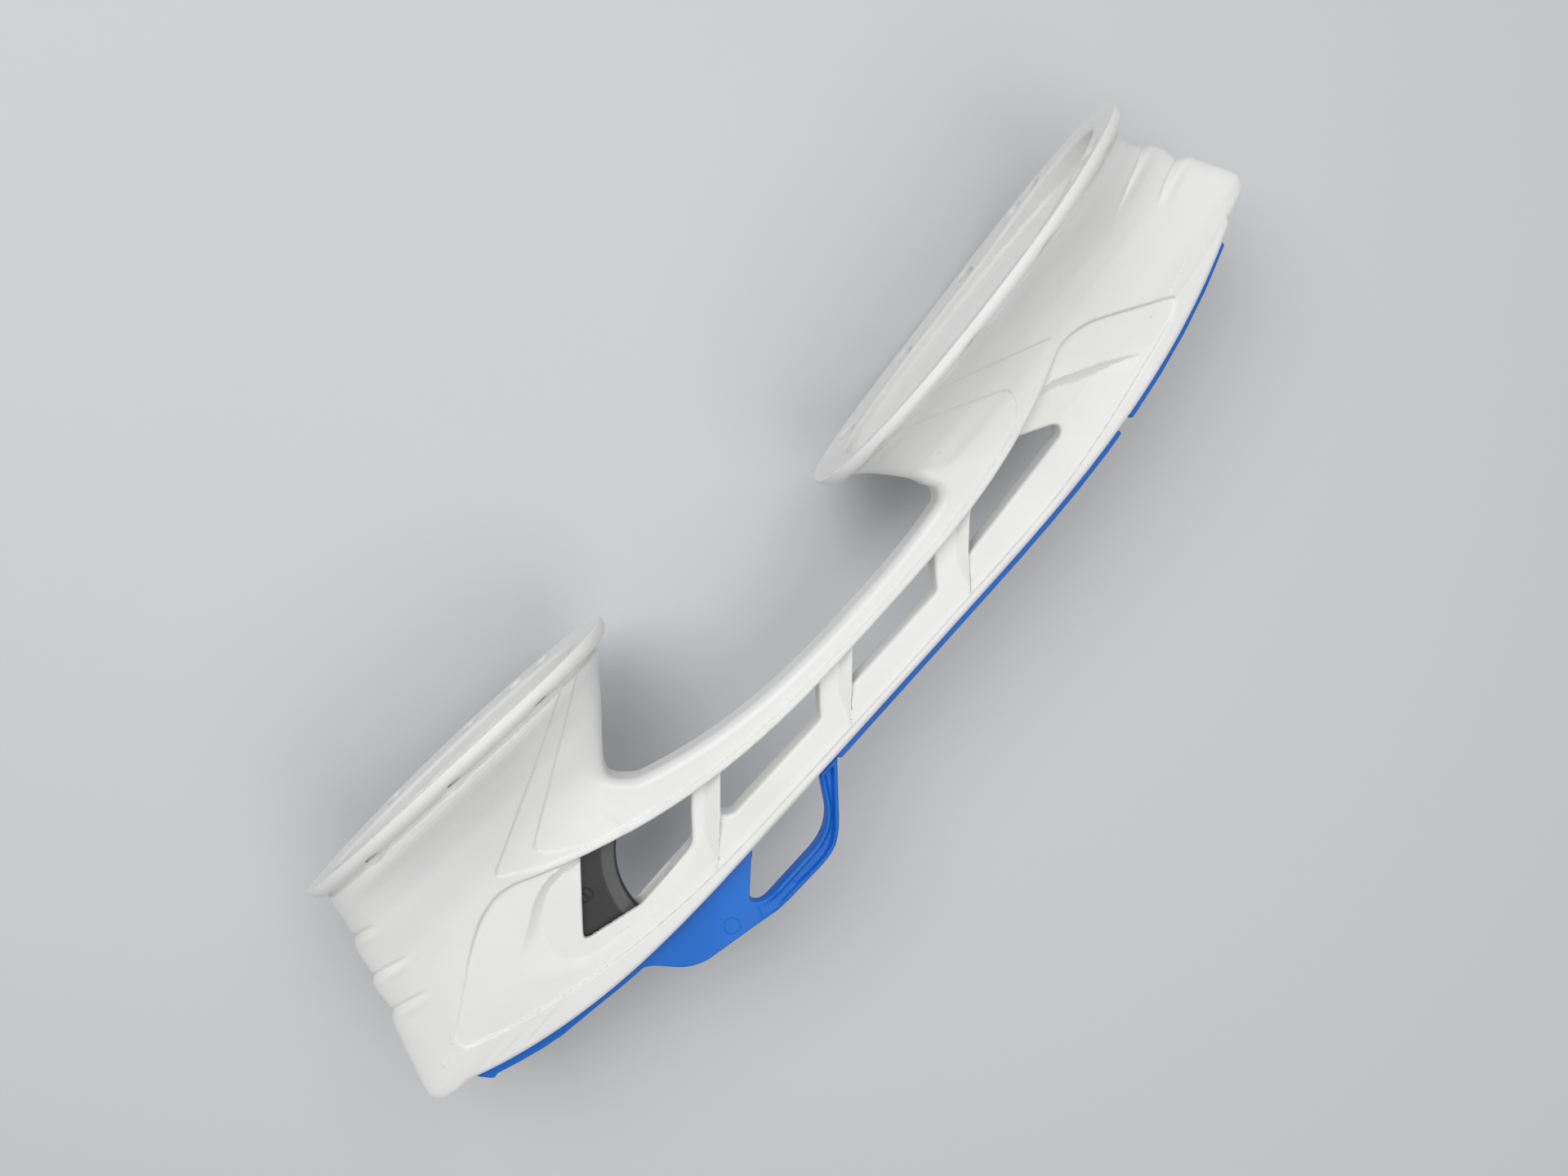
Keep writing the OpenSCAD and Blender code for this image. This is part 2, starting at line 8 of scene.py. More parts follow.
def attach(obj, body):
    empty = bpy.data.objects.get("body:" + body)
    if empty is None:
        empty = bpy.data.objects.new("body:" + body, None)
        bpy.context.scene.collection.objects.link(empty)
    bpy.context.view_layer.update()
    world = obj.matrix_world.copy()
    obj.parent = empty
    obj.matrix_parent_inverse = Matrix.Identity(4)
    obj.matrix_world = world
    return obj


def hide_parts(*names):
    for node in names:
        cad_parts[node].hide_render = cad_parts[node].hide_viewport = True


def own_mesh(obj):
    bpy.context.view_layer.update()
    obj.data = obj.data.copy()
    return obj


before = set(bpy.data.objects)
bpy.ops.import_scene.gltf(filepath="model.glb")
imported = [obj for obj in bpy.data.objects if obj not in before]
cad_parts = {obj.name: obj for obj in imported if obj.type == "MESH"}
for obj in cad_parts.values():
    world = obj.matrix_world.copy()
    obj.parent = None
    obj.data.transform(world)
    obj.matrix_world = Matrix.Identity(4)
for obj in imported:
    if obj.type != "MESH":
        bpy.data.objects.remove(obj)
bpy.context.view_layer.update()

scene = bpy.context.scene
coarse = 1.0
tiny = 1e-9   # keeps a division away from zero

# Shapes are drawn in millimetres from the middle of the slot mouth, on the lowest line of the
# rail: X to the toe, Y to the left side, Z up to the boot. toFrame moves them to the frame, whose
# origin is the middle of the toe footplate.
toeCentre = np.array([78.0, 0.0, 49.8])


def toFrame(points):
    return (np.asarray(points, float) - toeCentre) * 0.001


def addObject(name, data):
    thing = bpy.data.objects.new(name, data)
    scene.collection.objects.link(thing)
    return thing


cameraLook = {
    "place": (0.0, -268.5, 84.8),
    "down": 10.5,   # degrees below level
    "roll": 48.0,   # degrees, so the toe points to the upper right
    "lens": 27.19,
    "sensor": 36.0,
    "clip": (0.01, 20),   # metres
}


def makeCamera(look):
    data = bpy.data.cameras.new("camera")
    data.lens = look["lens"]
    data.sensor_width = look["sensor"]
    data.clip_start, data.clip_end = look["clip"]
    camera = addObject("camera", data)
    down, roll = math.radians(look["down"]), math.radians(look["roll"])
    ahead = Vector((0, math.cos(down), -math.sin(down)))
    up = Vector((0, math.sin(down), math.cos(down)))
    across = Vector((1, 0, 0))
    right = across * math.cos(roll) - up * math.sin(roll)
    top = across * math.sin(roll) + up * math.cos(roll)
    turn = Matrix((right, top, -ahead)).transposed().to_4x4()
    camera.matrix_world = Matrix.Translation(Vector(toFrame(look["place"]))) @ turn
    scene.camera = camera


makeCamera(cameraLook)
scene.view_settings.view_transform = "Standard"
print("camera is set")


# Shape tools. A field is negative inside a piece and about the distance to its surface in mm.
def ramp(t):
    t = np.clip(t, 0.0, 1.0)
    return t * t * (3.0 - 2.0 * t)


def roundBoth(a, b, r):   # what a and b share, with an outer edge rounded to radius r
    return np.minimum(np.maximum(a, b), -r) + np.hypot(np.maximum(a + r, 0), np.maximum(b + r, 0))


def roundJoin(a, b, r):   # a and b together, with a fillet of radius r
    return np.maximum(np.minimum(a, b), r) - np.hypot(np.maximum(r - a, 0), np.maximum(r - b, 0))


def roundCut(a, b, r):    # a without b
    return roundBoth(a, -b, r)


def corners(points, steps=6):   # [x, z, cut length] to an outline with rounded corners
    mostCut = 0.49   # share of a side that one corner may take
    points = [np.array(p, float) for p in points]
    line = []
    for i, p in enumerate(points):
        if p[2] <= 0:
            line.append(p[:2])
            continue
        before, after = points[i - 1][:2] - p[:2], points[(i + 1) % len(points)][:2] - p[:2]
        cutIn = min(p[2], mostCut * np.linalg.norm(before))
        cutOut = min(p[2], mostCut * np.linalg.norm(after))
        a = p[:2] + before / np.linalg.norm(before) * cutIn
        c = p[:2] + after / np.linalg.norm(after) * cutOut
        for s in np.linspace(0, 1, steps):
            line.append((1 - s) ** 2 * a + 2 * s * (1 - s) * p[:2] + s * s * c)
    return np.array(line)


def outlineField(x, z, outline):   # signed distance to a closed outline in X and Z
    nearest, inside = None, None
    for a, b in zip(outline, np.roll(outline, -1, axis=0)):
        ex, ez = b[0] - a[0], b[1] - a[1]
        wx, wz = x - a[0], z - a[1]
        t = np.clip((wx * ex + wz * ez) / max(ex * ex + ez * ez, tiny), 0, 1)
        d = (wx - t * ex) ** 2 + (wz - t * ez) ** 2
        nearest = d if nearest is None else np.minimum(nearest, d)
        rise = ez if abs(ez) > tiny else tiny
        crosses = ((a[1] > z) != (b[1] > z)) & (wx < wz * ex / rise)
        inside = crosses if inside is None else inside ^ crosses
    return np.where(inside, -1.0, 1.0) * np.sqrt(nearest)


leastShare = 1e-4   # keeps an oval's slope real on its own two axes


def ovalField(x, y, rear, front, half, rearPower, frontPower):   # two half ovals, end to end
    middle, reach = (rear + front) / 2, (front - rear) / 2
    power = np.where(x < middle, rearPower, frontPower)
    u = np.maximum(np.abs(x - middle) / reach, leastShare)
    v = np.maximum(y / half, leastShare)
    k = (u ** power + v ** power) ** (1 / power)
    slope = np.hypot((u / k) ** (power - 1) / reach, (v / k) ** (power - 1) / half)
    return (k - 1) / slope


def softRows(rows, parts=4):   # rows of numbers with smooth steps between them
    rows = np.array(rows, float)
    steps = np.diff(rows, axis=0)
    slope = np.zeros_like(rows)
    both = steps[1:] * steps[:-1] > 0   # the row lies on a steady rise or fall
    total = np.where(both, steps[1:] + steps[:-1], 1)
    slope[1:-1] = np.where(both, 2 * steps[1:] * steps[:-1] / total, 0)
    slope[0], slope[-1] = steps[0], steps[-1]
    out = []
    for i in range(len(rows) - 1):
        for s in np.arange(parts) / parts:
            out.append(rows[i] * (1 + 2 * s) * (1 - s) ** 2 + slope[i] * s * (1 - s) ** 2
                       + rows[i + 1] * s * s * (3 - 2 * s) + slope[i + 1] * s * s * (s - 1))
    out.append(rows[-1])
    return np.array(out)


def ringField(x, y, z, rings, relief):   # a stack of tilted ovals
    place = 0.0
    level = [r[1] + (x - r[0]) * (r[3] - r[1]) / (r[2] - r[0]) for r in rings]
    for lower, upper in zip(level, level[1:]):
        place = place + np.clip((z - lower) / (upper - lower), 0, 1)
    shape = [np.interp(place, np.arange(len(rings)), rings[:, c]) for c in (0, 2, 4, 5, 6)]
    side = ovalField(x, y, shape[0], shape[1], shape[2], shape[3], shape[4]) - relief
    return side, level[0] - z, z - level[-1]


# Closed mesh where a field is zero: one corner for each grid cell that the surface crosses, moved
# on to the exact surface, and one face for each grid edge that it crosses.
def netOf(field, low, high, step):
    slabDeep = 60   # grid planes worked out at once
    axes = [np.arange(low[i], high[i] + step, step) for i in range(3)]
    slabs = []
    for start in range(0, len(axes[0]), slabDeep):
        x = axes[0][start:start + slabDeep].reshape(-1, 1, 1)
        slabs.append(field(x, axes[1].reshape(1, -1, 1), axes[2].reshape(1, 1, -1)).astype(np.float32))
    value = np.concatenate(slabs)
    inside = value < 0
    nodes = [inside[i:inside.shape[0] - 1 + i, j:inside.shape[1] - 1 + j, k:inside.shape[2] - 1 + k]
             for i in (0, 1) for j in (0, 1) for k in (0, 1)]
    count = sum(n.astype(np.int8) for n in nodes)
    cells = np.argwhere((count > 0) & (count < 8))
    number = np.full(count.shape, -1, np.int32)
    number[tuple(cells.T)] = np.arange(len(cells))
    offsets = np.array([(i, j, k) for i in (0, 1) for j in (0, 1) for k in (0, 1)])
    corner = np.stack([value[tuple((cells + o).T)] for o in offsets], axis=1)
    total, hits = np.zeros((len(cells), 3)), np.zeros(len(cells))
    for a in range(8):
        for b in range(a + 1, 8):
            if np.abs(offsets[a] - offsets[b]).sum() != 1:
                continue
            va, vb = corner[:, a], corner[:, b]
            crossed = (va < 0) != (vb < 0)
            t = np.where(crossed, va / np.where(crossed, va - vb, 1), 0)
            total += np.where(crossed[:, None], offsets[a] + t[:, None] * (offsets[b] - offsets[a]), 0)
            hits += crossed
    points = np.array(low) + (cells + total / hits[:, None]) * step
    faces = []
    for axis in range(3):
        first = [slice(1, -1)] * 3
        second = [slice(1, -1)] * 3
        first[axis], second[axis] = slice(0, -1), slice(1, None)
        crossing = inside[tuple(first)] != inside[tuple(second)]
        at = np.argwhere(crossing)
        leaving = inside[tuple(first)][tuple(at.T)]
        b, c = (axis + 1) % 3, (axis + 2) % 3
        around = []
        for aheadB, aheadC in ((0, 0), (1, 0), (1, 1), (0, 1)):
            cell = at.copy()
            cell[:, b] += aheadB
            cell[:, c] += aheadC
            around.append(number[tuple(cell.T)])
        quad = np.stack(around, axis=1)
        quad[~leaving] = quad[~leaving][:, ::-1]
        faces.append(quad)
    return settle(field, points, step), np.concatenate(faces)


probe = 0.05   # mm between the two readings of a field that give its slope


def slopeOf(field, p):
    out = np.zeros_like(p)
    for axis in range(3):
        up, down = p.copy(), p.copy()
        up[:, axis] += probe
        down[:, axis] -= probe
        out[:, axis] = (field(*up.T) - field(*down.T)) / (2 * probe)
    return out


def settle(field, points, step):   # points moved on to the surface, half a grid step at most in each round
    flattest = 0.05   # a squared slope below this counts as this
    for _ in range(2):
        f = field(*points.T)
        g = np.stack([field(*(points + way).T) - f for way in probe * np.eye(3)], axis=1) / probe
        move = -f[:, None] * g / np.maximum((g * g).sum(1), flattest)[:, None]
        length = np.linalg.norm(move, axis=1, keepdims=True)
        points = points + move * np.minimum(1, 0.5 * step / np.maximum(length, tiny))
    return points


def keepShape(thing, name):   # the object's mesh with its modifiers worked in
    mesh = bpy.data.meshes.new_from_object(thing.evaluated_get(bpy.context.evaluated_depsgraph_get()))
    thing.modifiers.clear()
    thing.data = mesh
    mesh.name = name
    return mesh


def turnOutward(mesh, weld=0.0):   # joins doubled corners and points every face outward
    shape = bmesh.new()
    shape.from_mesh(mesh)
    if weld:
        bmesh.ops.remove_doubles(shape, verts=shape.verts, dist=weld)
    bmesh.ops.recalc_face_normals(shape, faces=shape.faces)
    shape.to_mesh(mesh)
    shape.free()
    mesh.shade_smooth()


def makePiece(name, field, shape, body, node):
    step = shape["cell"] * coarse
    points, faces = netOf(field, *shape["box"], step)
    mesh = bpy.data.meshes.new(name)
    mesh.from_pydata(toFrame(points).tolist(), [], faces.tolist())
    piece = addObject(name, mesh)
    thin = piece.modifiers.new("thin", "DECIMATE")
    thin.ratio = min(1.0, shape["triangles"] / (2 * len(faces)))
    thin.use_collapse_triangulate = True
    shaped = keepShape(piece, name)
    place = np.zeros(len(shaped.vertices) * 3)
    shaped.vertices.foreach_get("co", place)
    place = place.reshape(-1, 3) * 1000 + toeCentre
    place = settle(field, place, step)
    shaped.vertices.foreach_set("co", toFrame(place).ravel())
    normal = slopeOf(field, place)
    normal /= np.maximum(np.linalg.norm(normal, axis=1, keepdims=True), tiny)
    shaped.polygons.foreach_set("use_smooth", [True] * len(shaped.polygons))
    shaped.update()
    shaped.normals_split_custom_set_from_vertices(normal.tolist())
    shaped.materials.append(materials[node])
    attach(piece, body)
    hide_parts(node)
    print(name, "has", len(shaped.polygons), "triangles")


# The holder: one white moulding. A pair of rows gives a height or width at places along X or up Z.
holderShape = {
    "box": ((-144.6, -31.2, -1.8), (142.8, 31.2, 72.6)),
    "cell": 0.5,
    "triangles": 190000,
    "ribbonIn": 0.42,      # the ribbon from the bridge up the towers is sunk
    "hollowIn": 0.35,      # its middle lies deeper
    "stepWide": 0.55,
    "neckIn": 0.75,        # the line under each plate's lip
    "neckBelow": 0.55,
    "neckWide": 0.9,
    "panelIn": 0.5,
    "panelRound": 0.6,
    "panelPast": 1.2,
    "joinRound": 0.4,
    "towerRound": 2.0,     # below, where each tower ends
    "footJoin": 0.5,
    "bandRound": 0.5,
    "bandJoin": (0.02, 0.3),   # fillet over the rail's foot, and how much more inside the panel
    "plateJoin": 0.3,
    "hollowRound": 0.8,    # at the hollows' mouths
    "holeRound": 0.35,
    "slotHalf": 1.75,
    "slotDepth": 6.0,
    "slotMiddle": -2.2,
    "slotReach": 131.8,
    "pocketHalf": 2.8,
    "pin": (-86.0, 40.0, 1.53),
    "pinFrom": -5.0,
}
bridgeShape = {
    "half": 6.1,
    "endIn": 2.4,          # its ends are thinner, inside the towers
    "heelEnd": (-64, 8),   # where that starts and over what run
    "toeEnd": (60, 10),
    "steeper": 0.25,
    "middle": (8, 60),
    "heelRound": 5,
    "toeRound": 3.5,
    "below": 3,
    "reach": 72,
    "edgeRound": 2.6,
    "top": (40, 0.16),
    "neckApart": 0.3,
    "heelNeck": ((20, 30.5, 34.5, 38.6, 42, 46.9), (-58.9, -58.4, -58.3, -56.9, -53.8, -48.6)),
    "heelLean": (33, 0.3),   # above this height the bridge stays clear of the tower's edge
    "toeNeck": ((20.4, 25, 27.2, 31.2, 36.2), (41.5, 40.3, 39, 36.9, 33.5)),
    "toeLean": (27, 0.3),
}
railShape = {
    "half": 5.3,
    "heelEnd": (-118, 23.5),   # where the foot starts to narrow and over what run
    "toeEnd": (117, 24.5),
    "endPower": 3.2,
    "mostNarrow": 0.99,        # short of 1, so that its flanks never meet
    "edgeRound": 1.5,
    "ends": (-133, 131),
    "fillUp": 7.2,             # the foot is filled up at both ends, past these places
    "fillPast": (-105, 98),
    "band": ((-125, -116, -106, -98, -88, -79, -68, -60, -45, 0, 60, 80, 94, 109),
             (7.6, 7.5, 6.7, 5.96, 4.94, 4.2, 3.37, 2.85, 2.4, 2.0, 2.2, 3.4, 4.1, 4.0)),
}
# The web between the towers and the rail. Above its foot the rail steps in, stands upright and
# slopes to the web.
webShape = {
    "half": 3.2,
    "tower": ((6, 14, 20, 28, 36), (5.2, 5.3, 5.7, 6.2, 6.5)),
    "share": ((-128, -94, -78, -66, -54, 66, 80, 114), (1, 1, 0.9, 0.6, 0, 0, 0.8, 1)),
    "frameOut": 0.5,
    "frameWide": 3.2,
    "frameSoft": 1.1,
    "frameEnd": (-76, 8),
    "pocketWall": (-69, -62),  # the wall around the trigger's pocket thins out between these places
    "wallHalf": (4.2, 0.3),    # from this half width to this far under the web's face
    "strutHalf": 4.7,
    "strutStep": 2,
    "strutSoft": 0.8,
    "bandHalf": 4.5,
    "bandOver": 0.1,           # the slope above the band ends this far over the web's face
    "bandUp": ((-95, -67, -54, 0, 60, 76, 94), (2.9, 2.75, 1.9, 1.75, 1.9, 1.45, 1.5)),
    "bandEnd": ((-92, -76, -58, -47, -17, 23, 36, 70, 80, 94),
                (13.6, 11.5, 11.2, 9.2, 8.8, 8.6, 8.8, 11.8, 12.6, 14)),
    "windowRound": 0.8,
    "pocketRound": 0.4,
    "roundPast": (-68, -60),
}
# The footplates: each is an oval rim, bent by crown, lift and tilt, and dished to its inner edge
plates = {
    "heel": {"centre": (-78.0, 66.4), "slope": 5.1, "reach": 45.25, "rear": 43.8, "front": 45.25,
             "half": 25.0, "powers": (1.9, 2.5), "lip": 3.5, "tuck": 2.7, "rim": 9.0, "dish": 0.9,
             "flatter": 0.0, "crown": 0.9, "lift": 0.0, "tilt": 0.0, "inset": 4.5,
             "holes": (-21.5, 2.2, 25.9), "dimples": (17.2,),
             "hollow": [(11, -18.4, 6), (4.5, -14, 8.4), (2.5, -8.6, 13), (0, -3.2, 16), (0, 3, 16)]},
    "toe": {"centre": (78.0, 49.8), "slope": -3.6, "reach": 55.0, "rear": 55.0, "front": 52.8,
            "half": 30.0, "powers": (2.5, 2.1), "lip": 3.3, "tuck": 2.3, "rim": 9.6, "dish": 1.5,
            "flatter": 0.7, "crown": -1.4, "lift": 0.6, "tilt": 0.02, "inset": 5.2,
            "holes": (-39.6, -14.8, 10, 34.8), "dimples": (28.6,),
            "hollow": [(14, -19, 4.2), (9, -14, 6), (5, -9.4, 9.8), (2.5, -6.4, 15), (0, -3.4, 20.2),
                       (0, 3, 20.2)]},
}
plateDetail = {
    "edgeRound": 0.45,
    "flatPast": (8, 30),   # where the toe plate's dish gets flatter, and over what run
    "hollowLean": 0.8,     # distance to a hollow's slanted wall, for each mm across
    "floorRound": 3,       # around each hollow's floor
    "crownMiddle": 0.67,
    "holeRadius": 2.4,
    "holeFloor": 0.3,
    "dimpleRadius": 2.1,
    "dimpleDeep": 0.8,
    "seatOut": 5.9,        # the seat's middle, outward from the hole's axis
    "seatWide": 5.3,
    "seatHigh": 1.6,
    "seatBelow": 0.75,
}

# Rings of the towers: rear x and z, front x and z, half width, powers of the two ends
heelRings = softRows([
    (-138.4, 13.2, -118, 12.2, 4.9, 3.2, 2), (-141.6, 15, -112, 13.6, 5.3, 3.2, 2),
    (-142.6, 17.6, -105, 15.6, 5.6, 3.2, 3), (-139.6, 24.6, -58.9, 19.5, 6, 3.4, 4),
    (-134.1, 35, -58.4, 30.5, 6.5, 3.4, 5), (-131.7, 38, -58.3, 34.5, 6.9, 3.3, 5),
    (-130.2, 43.2, -56.9, 38.6, 7.9, 3.2, 4.5), (-127.9, 46.6, -53.8, 42, 9, 3, 4),
    (-125.6, 52.4, -48.6, 46.9, 11.5, 2.7, 3.6), (-123.5, 55.4, -45.6, 49.8, 13.2, 2.5, 3.3),
    (-121.6, 60.4, -41.4, 54.2, 17.2, 2.2, 2.9), (-120.4, 64.2, -38, 57.6, 21.2, 2, 2.6),
    (-120, 67.4, -37, 60.8, 22.6, 1.9, 2.5)])
toeRings = softRows([
    (110, 11.9, 138.2, 17.2, 4.9, 2, 3.6), (90, 10.8, 140.4, 19.5, 5.3, 2.5, 4.6),
    (60, 11.4, 140.7, 21.5, 5.7, 4, 6), (41.5, 20.4, 138.3, 27, 6.3, 4, 5),
    (40.3, 25, 135.3, 32.7, 7.1, 4, 3.8), (39, 27.2, 133.1, 34.8, 7.9, 4, 3.4),
    (36.9, 31.2, 132.7, 37.6, 9.4, 3.6, 3), (33.5, 36.2, 130.4, 41.4, 13.2, 3.2, 2.7),
    (31.4, 38.8, 128.4, 43.4, 16.6, 2.9, 2.4), (28.6, 41.8, 126.8, 47.4, 23.2, 2.6, 2.2),
    (28, 44.8, 126.4, 51.8, 27, 2.5, 2.1)])

# Grooves that run in from the end faces: x, z, fall per mm and per mm squared, the way in, length.
# Each has a low ridge beneath it.
grooveShape = {"deep": 0.65, "wide": 0.55, "fade": 0.6, "ridge": 0.25, "ridgeBelow": 1.7, "ridgeWide": 1.1}
endGrooves = [(-123.4, 55.5, 0.05, 0.012, 1, 9), (-127.2, 46.3, 0.18, 0.006, 1, 11),
              (-131.2, 37.6, 0.20, 0.006, 1, 11),
              (128.4, 42.4, 0.10, 0.010, -1, 20), (132.6, 34.2, 0.05, 0.016, -1, 13)]


# Lines that rise to both ends: lowest height, then for the heel and the toe where the rise starts,
# its run, its height over that run and its power
curves = {
    "railLow": (0, (-45, 85.3, 12.4, 3), (25, 101.8, 13.7, 3)),
    "bridgeUnder": (15, (5, 80, 13.9, 2.6), (10, 72.9, 11.6, 3)),
    "saddle": (20.8, (10, 63.8, 10.2, 2.6), (10, 63.8, 14, 2.6)),
}


def rising(x, curve):
    low, (heelFrom, heelRun, heelRise, heelPower), (toeFrom, toeRun, toeRise, toePower) = curve
    return (low + heelRise * np.clip((heelFrom - x) / heelRun, 0, 3) ** heelPower
            + toeRise * np.clip((x - toeFrom) / toeRun, 0, 3) ** toePower)


def railLow(x):
    return rising(x, curves["railLow"])


def railBand(x):   # height of the rail's thick foot
    return np.interp(x, *railShape["band"])


def bridgeUnder(x):
    return rising(x, curves["bridgeUnder"])


def railTop(x):
    return railLow(x) + railBand(x)


def alongLine(line, fromX, toX, up=0, count=16):   # uncut corners along a line, raised by up
    return [(x, float(line(x)) + up, 0) for x in np.linspace(fromX, toX, count)]


panelOutline = corners([(-127.3, 19.7, 2.5), (-126.3, 22.9, 2), (-104, 36.4, 9), (-95, 38.4, 5)]
                       + alongLine(bridgeUnder, -90, 78, 0, 34)
                       + [(83.6, 26.7, 3), (91, 25.2, 4), (110.4, 13.5, 2)]
                       + alongLine(railTop, 105, -118, 0, 20))
ribbonOutline = corners([(-46.5, 59.9, 0), (-67.2, 51.1, 0), (-91.6, 41.4, 2.5)]
                        + alongLine(bridgeUnder, -83, 76, 1.6)
                        + [(82.4, 29.2, 1), (65.6, 36.9, 0), (50.7, 43.8, 0), (40, 49, 0), (40, 80, 0),
                           (-46.5, 80, 0)])
hollowOutline = corners([(-42.2, 59.4, 0), (-63.8, 48.1, 0), (-81.8, 38.8, 2.5), (-79.4, 35.2, 2)]
                        + alongLine(bridgeUnder, -72, 60, 2.1)
                        + [(65.6, 23.2, 2.5), (68.2, 28.2, 3), (53.2, 36.6, 0), (39.7, 43.7, 0), (28, 50, 0),
                           (28, 80, 0), (-42.2, 80, 0)])
windowOutlines = [corners(w) for w in (
    [(-91.4, 15.3, 2), (-76.4, 29.4, 0), (-74, 34, 0), (-56, 28, 0), (-49.3, 19.9, 0),
     (-58.3, 11.2, 2), (-76.6, 11, 0)],
    [(-48.9, 11, 1.2), (-41, 18, 0), (-41, 22, 0), (-10, 18, 0), (-10.4, 15.4, 0),
     (-16.8, 8.6, 0.8), (-47.2, 8.9, 1.6)],
    [(-6.2, 8.5, 1.2), (1.6, 15.2, 0.8), (2, 17, 0), (29.6, 17, 0), (29.2, 15, 0), (23.4, 8.4, 0.8)],
    [(34.2, 8.6, 0.8), (41.6, 15, 1.5), (46.5, 16.9, 0), (48, 20, 0), (61, 22, 0), (61.4, 18.9, 2),
     (70.9, 13.6, 2), (69.8, 11.4, 1.5)])]
# Scoops beside the outer windows: upper edge, lower edge, depth, and the runs over which the depth
# comes in below the edge, above the foot and from the outer end
scoops = [
    {"edge": [(-109, 20.2), (-103.4, 24.2), (-96.5, 27.4), (-92, 30), (-88.3, 31.3), (-84.9, 31.7),
              (-79.6, 31), (-70, 27)],
     "foot": [(-109, 18.6), (-100, 13), (-93, 9.2), (-80, 7), (-60, 5)],
     "deep": 2.0, "run": 3.6, "soft": 7, "fade": 24},
    {"edge": [(62, 24), (73.4, 22.3), (76.5, 21.7), (79.6, 20.1), (86.7, 16.4), (92, 13), (95.2, 10.6)],
     "foot": [(60, 4.7), (75.9, 6.3), (87.4, 8.3), (95.2, 10.2)],
     "deep": 2.0, "run": 3.6, "soft": 1.5, "fade": 4},
]
scoopLean = 0.87   # distance from a scoop's slanted edge, for each mm below it
scoopPast = 0.5    # how far a scoop runs on past the inner end of its edge
# Struts between the windows: heights with the places of their left and right lines
struts = [
    ((2, -65.3), (24, -39.2)), ((2, -60), (5.9, -55.3), (12.1, -47.8), (17.7, -41.8), (24, -35.1)),
    ((2, -17.6), (20, 1.8)), ((2, -14.1), (5.9, -9.5), (9.4, -5.4), (14.3, 0), (20, 6.3)),
    ((2, 23.8), (20, 41.8)), ((2, 27.6), (5.3, 30.8), (9, 34.4), (14.5, 40.5), (16, 42.5), (16.6, 45.4),
                              (17.2, 50)),
]
pocketOutline = corners([(-104, -3, 0), (-66, -3, 0), (-66, 31.5, 0), (-78, 45, 0), (-92, 45, 0),
                         (-96, 38, 0), (-101.5, 26, 0), (-106, 20, 0), (-106, 10, 0), (-104, 8, 0)])
hookOutline = corners([(98.6, 8, 0), (112.6, 8, 0), (112.6, 16.6, 0), (118.8, 16.6, 0), (118.8, 20.6, 0),
                       (98.6, 20.6, 0)])


def lineAt(value, points):   # the second number along a line of points, at values of the first
    points = np.array(points, float)
    return np.interp(value, points[:, 0], points[:, 1])


def plateSpace(x, z, plate):   # along the plate, up from its plane, and up from its bent top
    turn = math.radians(plate["slope"])
    dx, dz = x - plate["centre"][0], z - plate["centre"][1]
    px = dx * math.cos(turn) - dz * math.sin(turn)
    pz = dx * math.sin(turn) + dz * math.cos(turn)
    crown = plate["crown"] * (plateDetail["crownMiddle"] - (px / plate["reach"]) ** 2)
    return px, pz, pz - crown - plate["lift"] - plate["tilt"] * px


def skinRelief(x, z):   # how far the towers' and the bridge's skin stands out
    h, g = holderShape, grooveShape
    out = -h["ribbonIn"] * ramp(0.5 - outlineField(x, z, ribbonOutline) / h["stepWide"])
    out = out - h["hollowIn"] * ramp(0.5 - outlineField(x, z, hollowOutline) / h["stepWide"])
    for gx, gz, fall, bend, way, length in endGrooves:
        inward = np.maximum((x - gx) * way, 0)
        away = z - gz + (fall + bend * inward) * inward
        fade = ramp((length - inward) / (g["fade"] * length))
        out = out - g["deep"] * fade * np.exp(-(away / g["wide"]) ** 2)
        out = out + g["ridge"] * fade * np.exp(-((away + g["ridgeBelow"]) / g["ridgeWide"]) ** 2)
    for plate, place in ((plates["heel"], x < 0), (plates["toe"], x > 0)):
        away = np.abs(plateSpace(x, z, plate)[2] + plate["lip"] + h["neckBelow"])
        out = out - h["neckIn"] * ramp(1 - away / h["neckWide"]) * place
    return out


